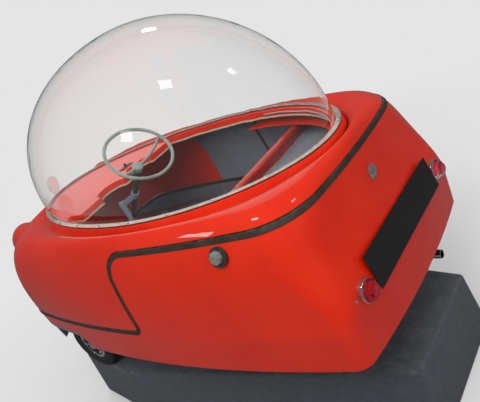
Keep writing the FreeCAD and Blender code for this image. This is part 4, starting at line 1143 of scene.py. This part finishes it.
@dataclass
class Tail(SubAssembly):
    """The blank number plate, the stepped lamps, the boss, the filler and the exhaust."""

    lens_sunk: float = 0.004
    lens_profile: Profile = ((1.0, 0.22), (0.97, 0.3), (0.9, 0.36), (0.86, 0.38), (0.85, 0.56),
                             (0.82, 0.64), (0.74, 0.69), (0.62, 0.71), (0.6, 0.84), (0.55, 0.92),
                             (0.42, 0.98), (0.2, 1.0), (0.0, 1.0))
    clear_share: float = 0.25
    rim_margins: Profile = ((0.0004, -0.004), (0.004, -0.004), (0.004, 0.001), (0.003, 0.003),
                            (0.0015, 0.004), (0.0004, 0.003), (0.0004, -0.004))
    stud_profile: Profile = ((0.006, -0.003), (0.006, 0.002), (0.0052, 0.004), (0.003, 0.0055),
                             (0.0, 0.006))
    stud_shifts: Profile = ((-0.05, -0.012), (0.05, 0.004))
    stud_reach: float = 0.2
    boss_profile: Profile = ((1.0, -0.012), (1.0, -0.004), (0.93, -0.001), (0.8, 0.0),
                             (0.76, -0.001), (0.7, -0.001), (0.6, 0.0015), (0.4, 0.0035),
                             (0.15, 0.0045), (0.0, 0.0046))
    filler_axis: tuple[float, float, float] = (0.9, 0.14, 0.42)
    filler_radius: float = 0.0215
    filler_profile: Profile = ((0.9, -0.0065), (1.0, -0.0045), (1.0, 0.004), (0.94, 0.0065),
                               (0.8, 0.0075), (0.55, 0.0072), (0.5, 0.0078), (0.2, 0.0086),
                               (0.0, 0.0087))
    filler_lobes: int = 8
    lobe_inner: float = 0.7
    lobe_deep: float = 0.09

    def build(self) -> None:
        """Models and dresses all the tail's pieces."""
        self.dress("number_plate", PLATE_BLACK)
        self.dress("exhaust_pipe tail_lamp_rings", CHROME)
        self.dress("filler_base", DARK_PLASTIC)
        skin = Skin([self.node("tub")])
        self.lamps(skin)
        self.boss()
        self.filler_cap()

    def lamps(self, skin: Skin) -> None:
        """Models the stepped lens and the rounded rim of both lamps, and their small studs."""
        low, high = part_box("tail_lamp_lenses")
        radius = (high.z - low.z) / 2
        deep = high.y - low.y
        rows = [(radius, -self.lens_sunk)] + Bench.profile(self.lens_profile, radius, deep)
        rim_rows = [(radius + margin, place) for margin, place in self.rim_margins]
        for side in Side:
            spot = Vector((side.value * (high.x - radius), low.y, (low.z + high.z) / 2))
            tag = side.name.lower()
            lens = Bench.turned("tail_lens_" + tag, rows, spot, BACK)
            Bench.wear(lens, RED_LENS)
            if side is Side.RIGHT:
                lens.data.materials.append(CLEAR_LENS.material())
                for face in lens.data.polygons:
                    if face.center.z < spot.z - radius * self.clear_share:
                        face.material_index = 1
            self.keep(lens, CAR, None, "red_lens", "tail_lamp_lenses")
            rim = Bench.turned("tail_lamp_rim_" + tag, rim_rows, spot, BACK, ring=True)
            self.keep(rim, CAR, CHROME, "chrome")
            studs = []
            for shift_x, shift_z in self.stud_shifts:
                start = spot + Vector((shift_x, self.stud_reach, shift_z))
                point, normal = skin.hit(start, FORWARD)
                studs.append(Bench.turned("stud", self.stud_profile, point, normal, 20))
            whole = Bench.joined("tail_lamp_studs_" + tag, studs)
            self.keep(whole, CAR, CHROME, "chrome")

    def boss(self) -> None:
        """Models the plain domed boss above the plate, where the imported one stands."""
        low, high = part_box("deck_boss")
        packed = self.node("deck_boss")
        face = max(packed.data.polygons, key=lambda side: side.normal.y * side.area)
        radius = (high.z - low.z) / 2
        spot = Vector((0, face.center.y, face.center.z))
        piece = Bench.turned("deck_boss_cap", Bench.profile(self.boss_profile, radius), spot, BACK)
        self.keep(piece, CAR, CHROME, "chrome")
        self.dress("deck_boss", CHROME)

    def filler_cap(self) -> None:
        """Models the lobed filler cap: a turned cap whose sides are drawn in between lobes."""
        low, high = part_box("filler_cap")
        middle = (low + high) / 2
        way = Vector(self.filler_axis).normalized()
        rows = Bench.profile(self.filler_profile, self.filler_radius)
        piece = Bench.turned("filler_cap_lobed", rows, middle, way, 96)
        side = way.orthogonal().normalized()
        other = way.cross(side)
        for vertex in piece.data.vertices:
            reach = vertex.co - middle
            flat = reach - way * reach.dot(way)
            if flat.length > self.filler_radius * self.lobe_inner:
                turn = self.filler_lobes * math.atan2(flat.dot(other), flat.dot(side))
                vertex.co -= flat * self.lobe_deep * (0.5 - 0.5 * math.cos(turn)) ** 2
        self.keep(Bench.settle(piece), CAR, CAP_PLASTIC, "grey_plastic", "filler_cap")


# Wheels and running gear


@dataclass
class Wheels(SubAssembly):
    """The three road wheels: ribbed tyres, chromed wheels with hub caps, and the gear."""

    segments: int = 96
    bead_share: float = 0.508
    bead_profile: Profile = ((0.0, 0.667), (0.008, 0.69), (0.012, 0.8), (0.02, 0.93), (0.03, 0.99))
    shoulder_profile: Profile = ((-0.026, 1.0), (-0.017, 0.97), (-0.009, 0.86), (-0.004, 0.74))
    groove_profile: Profile = ((-0.0015, 0.12), (-0.0045, 0.09), (-0.0045, 0.03), (-0.0008, 0.0))
    groove_places: Row = (0.52, 0.16)
    cut_band: Row = (-0.02, -0.003)
    cut_inner: float = 0.7
    cut_step: int = 3
    cut_deep: float = 0.0021
    cap_round: float = 0.052
    cap_profile: Profile = ((1.0, -0.012), (1.02, -0.006), (0.98, -0.002), (0.85, 0.002),
                            (0.6, 0.0055), (0.3, 0.0075), (0.0, 0.008))
    nut_profile: Profile = ((0.0065, -0.004), (0.0065, 0.003), (0.005, 0.0045), (0.0, 0.0048))
    nut_count: int = 4
    nut_circle: float = 0.034
    nut_offset: float = 0.012

    def build(self) -> None:
        """Models one tyre and one hub cap and sets them at each wheel."""
        rows = (
            ("front_left", "left_wheel", Side.LEFT),
            ("front_right", "right_wheel", Side.RIGHT),
            ("rear", "back_wheel", Side.LEFT),
        )
        tyre = self.tyre()
        for name, body, side in rows:
            low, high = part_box(name + "_tyre")
            middle = (low + high) / 2
            copy = Bench.twin(tyre, name + "_ribbed_tyre", Matrix.Translation(middle))
            self.keep(copy, body, TYRE_RUBBER, "tyre", name + "_tyre")
            self.dress(name + "_wheel", CHROME)
            if name != "rear":
                self.hub_cap(name, body, side)
        bpy.data.objects.remove(tyre)
        self.dress("front_axle knuckle_left knuckle_right rear_fork rear_damper pedals", BLACK_PAINT)
        self.dress("engine_block", CAST_ALLOY)

    def tyre(self) -> bpy.types.Object:
        """Models a tyre at the origin, with ribs round it and cuts in its shoulders."""
        low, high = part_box("front_left_tyre")
        radius = (high.z - low.z) / 2
        half = (high.x - low.x) / 2
        bead = radius * self.bead_share
        outer = [(bead + rise, half * share) for rise, share in self.bead_profile]
        outer += [(radius + rise, half * share) for rise, share in self.shoulder_profile]
        for place in self.groove_places:
            outer += [(radius + rise, half * (place + off)) for rise, off in self.groove_profile]
        inner = [(row, -place) for row, place in reversed(outer)]
        rows = outer + inner + outer[:1]
        piece = Bench.turned("tyre", rows, Vector(), Vector((1, 0, 0)), self.segments, True)
        Bench.edit(piece, "DESELECT")
        bpy.ops.object.mode_set(mode="OBJECT")
        lowest, highest = self.cut_band
        for face in piece.data.polygons:
            centre = face.center
            rise = math.hypot(centre.y, centre.z) - radius
            turn = math.atan2(centre.z, centre.y) / (2 * math.pi) * self.segments
            on_shoulder = lowest < rise < highest and abs(centre.x) > half * self.cut_inner
            face.select = on_shoulder and math.floor(turn) % self.cut_step == 0
        bpy.ops.object.mode_set(mode="EDIT")
        bpy.ops.mesh.extrude_region_shrink_fatten(
            TRANSFORM_OT_shrink_fatten={"value": -self.cut_deep})
        Bench.clear()
        return Bench.settle(piece, 40.0)

    def hub_cap(self, name: str, body: str, side: Side) -> None:
        """Models the domed cap and the nuts in the middle of a front wheel.

        Args:
            name: the wheel's name.
            body: the body that it turns with.
            side: the side of the car.
        """
        low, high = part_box(name + "_wheel")
        outward = Vector((side.value, 0, 0))
        face_x = high.x if side is Side.LEFT else low.x
        spot = Vector((face_x, (low.y + high.y) / 2, (low.z + high.z) / 2))
        rows = Bench.profile(self.cap_profile, self.cap_round / 2)
        parts = [Bench.turned("cap", rows, spot, outward, 40)]
        inset = abs(face_x) - abs((low.x + high.x) / 2) - self.nut_offset
        for number in range(self.nut_count):
            turn = (2 * number + 1) * math.pi / self.nut_count
            place = Vector((0, math.cos(turn), math.sin(turn))) * self.nut_circle
            foot = spot + place - outward * inset
            parts.append(Bench.turned("nut", self.nut_profile, foot, outward, 6))
        self.keep(Bench.joined(name + "_hub_cap", parts), body, CHROME, "chrome")


# Cabin


@dataclass
class Cabin(SubAssembly):
    """The floor, bulkhead and shelf, the bench seat and the steering."""

    wheel_centre: tuple[float, float, float] = (0.0, -0.112, 1.092)
    wheel_lean: float = 45.0
    wheel_round: float = 0.285
    wheel_tube: float = 0.015
    wheel_dish: float = 0.082
    wheel_points: int = 32
    hub_profile: Profile = ((0.02, -0.022), (0.024, -0.018), (0.025, -0.004), (0.0235, 0.004),
                            (0.019, 0.008), (0.012, 0.0095), (0.0, 0.0105))
    spoke_tube: float = 0.013
    spoke_profile: Profile = ((0.05, 1.0), (0.3, 1.02), (0.6, 0.86), (0.82, 0.5), (0.95, 0.14),
                              (1.0, 0.0))
    pad_gap: float = 0.008
    pad_sunk: float = 0.0005
    pad_lowered: float = 0.004
    pad_round: float = 0.022
    pad_mesh: float = 0.006
    pad_mesh_quick: float = 0.008
    pad_pressure: float = 4.0
    pad_frames: int = 20
    swell_cap: float = 0.012
    sewn_from: float = 0.35
    sewn_blend: float = 0.4
    channel_step: float = 0.11
    channel_deep: float = 0.006
    channel_wide: float = 0.006
    crumple_high: float = 0.0012
    crumple_fine: float = 14.0
    closer_low: float = 0.522
    closer_high: float = 0.6
    closer_ends: Row = (-0.79, -0.36)
    closer_thick: float = 0.0025
    closer_gap: float = 0.004
    closer_probe: float = 0.01

    def build(self) -> None:
        """Models and dresses all that is inside the car."""
        self.dress("floor_pan parcel_shelf steering_box", CABIN_CARPET)
        self.dress("seat_bulkhead seat_box", CABIN_RED)
        self.dress("column_post", TUBE_PAINT)
        self.dress("steering_column", BLACK_PAINT)
        self.dress("shelf_switch", DARK_PLASTIC)
        self.arch_closers()
        self.steering_wheel()
        self.pad("seat_cushion", "seat_cushion_padded", UP)
        self.pad("seat_back", "seat_back_padded", FORWARD)

    def arch_closers(self) -> None:
        """Models the carpeted strips that close the slits between the ledges and the arches."""
        skin = Skin([self.node("tub")])
        front, rear = self.closer_ends
        strips = []
        for side in Side:
            Bench.clear()
            bpy.ops.mesh.primitive_grid_add(x_subdivisions=24, y_subdivisions=1, size=1.0)
            strip = bpy.context.object
            outward = Vector((side.value, 0, 0))
            for vertex in strip.data.vertices:
                station = front + (rear - front) * (vertex.co.x + 0.5)
                level = self.closer_low if vertex.co.y < 0 else self.closer_high
                probe = Vector((0, station, self.closer_high - self.closer_probe))
                wall = skin.hit(probe, outward)[0]
                vertex.co = Vector((wall.x - side.value * self.closer_gap, station, level))
            thickness = strip.modifiers.new("Thickness", "SOLIDIFY")
            thickness.thickness = self.closer_thick
            thickness.offset = 0.0
            Bench.finish_modifiers(strip)
            Bench.outward(strip)
            strips.append(strip)
        piece = Bench.joined("arch_closers", strips)
        self.keep(Bench.settle(piece, 50.0), CAR, CABIN_CARPET, "carpet")

    def steering_wheel(self) -> None:
        """Models the dished wheel: a ring, a hub and two curved spokes, leaned as the column."""
        lean = Matrix.Rotation(-math.radians(self.wheel_lean), 4, "X")
        place = Matrix.Translation(Vector(self.wheel_centre)) @ lean
        radius = self.wheel_round / 2
        dish = self.wheel_dish
        count = self.wheel_points
        turns = [2 * math.pi * step / count for step in range(count)]
        ring = Bench.tube("ring", [Vector((radius * math.cos(turn), radius * math.sin(turn), 0))
                                   for turn in turns], self.wheel_tube, True, 6)
        hub = Bench.turned("hub", self.hub_profile, Vector((0, 0, -dish)), UP, 40)
        parts = [ring, hub]
        for side in Side:
            points = [Vector((side.value * share * radius, 0, -dish * drop))
                      for share, drop in self.spoke_profile]
            parts.append(Bench.tube("spoke", points, self.spoke_tube, False, 10))
        whole = Bench.joined("steering_wheel_smooth", parts)
        whole.data.transform(place)
        self.keep(Bench.settle(whole, 50.0), "steering", WHEEL_PLASTIC, "grey_plastic",
                  "steering_wheel")

    def pad(self, node: str, name: str, face: Vector) -> None:
        """Models a stuffed pad in a packed block's place, with sewn channels on its face.

        Args:
            node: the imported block.
            name: the pad's name.
            face: the way that its padded face looks.
        """
        low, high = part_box(node)
        margin = Vector([self.pad_sunk if part else self.pad_gap for part in face])
        lowered = high - margin - face * self.pad_lowered
        piece = Bench.block(name, low + margin, lowered, self.pad_round, 4)
        Bench.edit(piece)
        bpy.ops.mesh.subdivide(number_cuts=4)
        Bench.clear()
        even = piece.modifiers.new("Even mesh", "REMESH")
        even.mode = "VOXEL"
        even.voxel_size = self.pad_mesh
        Bench.finish_modifiers(piece)
        self._stuff(piece)
        self._sew(piece, face)
        evener = piece.modifiers.new("Smooth", "SMOOTH")
        evener.iterations = 2
        Bench.finish_modifiers(piece)
        Bench.settle(piece, 60.0)
        self.keep(piece, CAR, SEAT_VINYL, "seat_vinyl", node)

    def _stuff(self, piece: bpy.types.Object) -> None:
        """Swells a pad as cloth under pressure and caps how far each point may move."""
        before = [vertex.co.copy() for vertex in piece.data.vertices]
        cloth = piece.modifiers.new("Cloth", "CLOTH")
        cloth.settings.use_pressure = True
        cloth.settings.uniform_pressure_force = self.pad_pressure
        cloth.settings.effector_weights.gravity = 0.0
        cloth.point_cache.frame_end = self.pad_frames
        scene = bpy.context.scene
        for number in range(1, self.pad_frames + 1):
            scene.frame_set(number)
        Bench.finish_modifiers(piece)
        scene.frame_set(1)
        for vertex, start in zip(piece.data.vertices, before):
            move = vertex.co - start
            if move.length > self.swell_cap:
                vertex.co = start + move.normalized() * self.swell_cap

    def _sew(self, piece: bpy.types.Object, face: Vector) -> None:
        """Presses the sewn channels into a pad's face and crumples it slightly.

        Args:
            piece: the pad.
            face: the way that its padded face looks.
        """
        low = Vector([min(vertex.co[axis] for vertex in piece.data.vertices) for axis in range(3)])
        high = Vector([max(vertex.co[axis] for vertex in piece.data.vertices) for axis in range(3)])
        front = max(low.dot(face), high.dot(face))
        depth = abs((high - low).dot(face))
        for vertex in piece.data.vertices:
            near = 1.0 - (front - vertex.co.dot(face)) / depth
            if near <= self.sewn_from:
                continue
            share = min(1.0, (near - self.sewn_from) / self.sewn_blend)
            off = (vertex.co.x + self.channel_step / 2) % self.channel_step - self.channel_step / 2
            dip = math.exp(-(off / self.channel_wide) ** 2) * self.channel_deep
            crumple = self.crumple_high * noise(vertex.co * self.crumple_fine)
            vertex.co -= face * (dip * share + crumple)


# Plinth


@dataclass
class Plinth(SubAssembly):
    """The low display plinth under the wheels, covered with worn carpet."""

    edge_round: float = 0.01

    def build(self) -> None:
        """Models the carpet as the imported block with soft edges."""
        piece = Bench.copy_of(self.node("plinth"), "plinth_carpet")
        Bench.edit(piece)
        bpy.ops.mesh.dissolve_limited(angle_limit=math.radians(2))
        bpy.ops.mesh.bevel(offset=self.edge_round, segments=4, affect="EDGES")
        Bench.clear()
        self.keep(Bench.settle(piece, 40.0), CAR, PLINTH_CARPET, "carpet", "plinth")


# Studio


@dataclass(frozen=True)
class Lamp:
    """One soft square lamp: its name, place, size, power and whether gloss mirrors it."""

    name: str
    place: tuple[float, float, float]
    size: float
    power: float
    glossy: bool


LAMPS = (
    Lamp("key_lamp", (2.6, 1.6, 3.6), 2.2, 88.0, False),
    Lamp("tail_lamp", (1.0, 3.6, 2.0), 1.8, 30.0, False),
    Lamp("fill_lamp", (-3.0, 1.2, 2.6), 3.0, 32.0, False),
    Lamp("rim_lamp", (-0.6, -3.4, 3.0), 2.4, 40.0, False),
    Lamp("hall_lamp_1", (1.5, 0.4, 3.4), 0.35, 5.0, True),
    Lamp("hall_lamp_2", (0.2, 2.2, 3.6), 0.30, 4.0, True),
    Lamp("hall_lamp_3", (-1.2, -0.8, 3.5), 0.30, 4.0, True),
    Lamp("hall_lamp_4", (3.2, -1.4, 2.6), 0.45, 6.0, True),
)


@dataclass
class Studio:
    """The pale floor, the soft lamps and the camera at the photograph's viewing angle."""

    camera_place: tuple[float, float, float] = (1.3199, 1.7193, 1.5975)
    camera_right: tuple[float, float, float] = (-0.5590, 0.6839, -0.4688)
    camera_down: tuple[float, float, float] = (0.5583, -0.1076, -0.8226)
    focal_pixels: float = 551.7
    centre_pixel: tuple[float, float] = (205.6, 182.9)
    picture: tuple[int, int] = (480, 402)
    backdrop: Colour = (0.78, 0.78, 0.78)
    floor_size: float = 60.0
    floor_tones: tuple[Colour, Colour] = ((0.80, 0.80, 0.80), (0.84, 0.84, 0.835))
    floor_bounce: Colour = (0.20, 0.20, 0.21)
    fade_reach: Row = (1.3, 3.2)
    lamp_target: tuple[float, float, float] = (0.0, 0.0, 0.7)
    sky: Colour = (0.9, 0.92, 0.95)
    sky_level: float = 0.42
    hall_gloom: Colour = (0.14, 0.14, 0.145)

    def build(self) -> None:
        """Sets the floor, the lamps, the world and the camera."""
        self.floor()
        self.lamps()
        self.world()
        self.camera()
        bpy.context.scene.view_settings.view_transform = "Standard"

    def floor(self) -> None:
        """Lays a wide pale floor; the camera sees it fade into the backdrop's colour far out."""
        Bench.clear()
        bpy.ops.mesh.primitive_plane_add(size=self.floor_size, location=(0, 0, 0))
        piece = bpy.context.object
        piece.name = "studio_floor"
        made = bpy.data.materials.new("Pale studio floor")
        made.use_nodes = True
        sheet = Sheet(made.node_tree)
        shader = made.node_tree.nodes["Principled BSDF"]
        shader.inputs["Roughness"].default_value = 0.9
        shader.inputs["Specular IOR Level"].default_value = 0.1
        place = sheet.add("ShaderNodeTexCoord").outputs["Object"]
        path = sheet.add("ShaderNodeLightPath")
        pale = sheet.tint(sheet.cloud(place, 3.0, 3.0), *self.floor_tones)
        watched = sheet.math("MAXIMUM", path.outputs["Is Camera Ray"],
                             path.outputs["Is Transmission Ray"])
        sheet.link(sheet.tint(watched, self.floor_bounce, pale), shader.inputs["Base Color"])
        far = sheet.vector("LENGTH", place).outputs["Value"]
        distance = sheet.ramp(far, *self.fade_reach)
        result = shader.outputs[0]
        for rays, colour in ((path.outputs["Is Glossy Ray"], self.hall_gloom),
                             (watched, self.backdrop)):
            flat = sheet.add("ShaderNodeEmission", {"Color": (*colour, 1.0)})
            share = sheet.math("MULTIPLY", distance, rays)
            result = sheet.either(share, result, flat.outputs[0])
        sheet.link(result, made.node_tree.nodes["Material Output"].inputs["Surface"])
        piece.data.materials.append(made)

    def lamps(self) -> None:
        """Hangs the soft lamps and turns them to the car."""
        for lamp in LAMPS:
            light = bpy.data.lights.new(lamp.name, "AREA")
            light.size = lamp.size
            light.energy = lamp.power
            made = bpy.data.objects.new(lamp.name, light)
            made.location = lamp.place
            way = Vector(self.lamp_target) - Vector(lamp.place)
            made.rotation_euler = way.to_track_quat("-Z", "Y").to_euler()
            made.visible_glossy = lamp.glossy
            made.visible_transmission = False
            bpy.context.scene.collection.objects.link(made)

    def world(self) -> None:
        """Sets a soft sky that the camera sees as the backdrop and gloss as a dim hall."""
        world = bpy.data.worlds.new("Soft studio")
        bpy.context.scene.world = world
        world.use_nodes = True
        sheet = Sheet(world.node_tree)
        sky = world.node_tree.nodes["Background"]
        sky.inputs["Color"].default_value = (*self.sky, 1.0)
        sky.inputs["Strength"].default_value = self.sky_level
        seen = sheet.add("ShaderNodeBackground", {"Color": (*self.backdrop, 1.0)})
        path = sheet.add("ShaderNodeLightPath")
        hall = sheet.add("ShaderNodeBackground", {"Color": (*self.hall_gloom, 1.0)})
        result = sky.outputs[0]
        for ray, level in (("Is Glossy Ray", hall), ("Is Transmission Ray", seen),
                           ("Is Camera Ray", seen)):
            result = sheet.either(path.outputs[ray], result, level.outputs[0])
        sheet.link(result, world.node_tree.nodes["World Output"].inputs["Surface"])

    def camera(self) -> None:
        """Places the camera from its measured place, axes, focal length and centre."""
        across, tall = self.picture
        right = Vector(self.camera_right).normalized()
        down = Vector(self.camera_down)
        down = (down - right * down.dot(right)).normalized()
        back = right.cross(-down)
        turn = Matrix((right, -down, back)).transposed().to_4x4()
        data = bpy.data.cameras.new("photo_camera")
        data.sensor_width = 36.0
        data.lens = self.focal_pixels / across * data.sensor_width
        data.shift_x = (across / 2 - self.centre_pixel[0]) / across
        data.shift_y = (self.centre_pixel[1] - tall / 2) / across
        data.clip_start = 0.05
        made = bpy.data.objects.new("photo_camera", data)
        made.matrix_world = Matrix.Translation(Vector(self.camera_place)) @ turn
        bpy.context.scene.collection.objects.link(made)
        bpy.context.scene.camera = made


def main() -> None:
    """Loads the frame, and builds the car's sub-assemblies and the studio."""
    logging.basicConfig(level=logging.INFO, format="%(name)s: %(message)s")
    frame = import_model()
    for part in (BodyShell(frame), Bubble(frame), Headlamps(frame), Tail(frame), Wheels(frame),
                 Cabin(frame), Plinth(frame)):
        part.build()
        LOG.info("%s is done: %d new pieces", type(part).__name__, len(part.made))
    Studio().build()


if __name__ == "__main__":
    main()
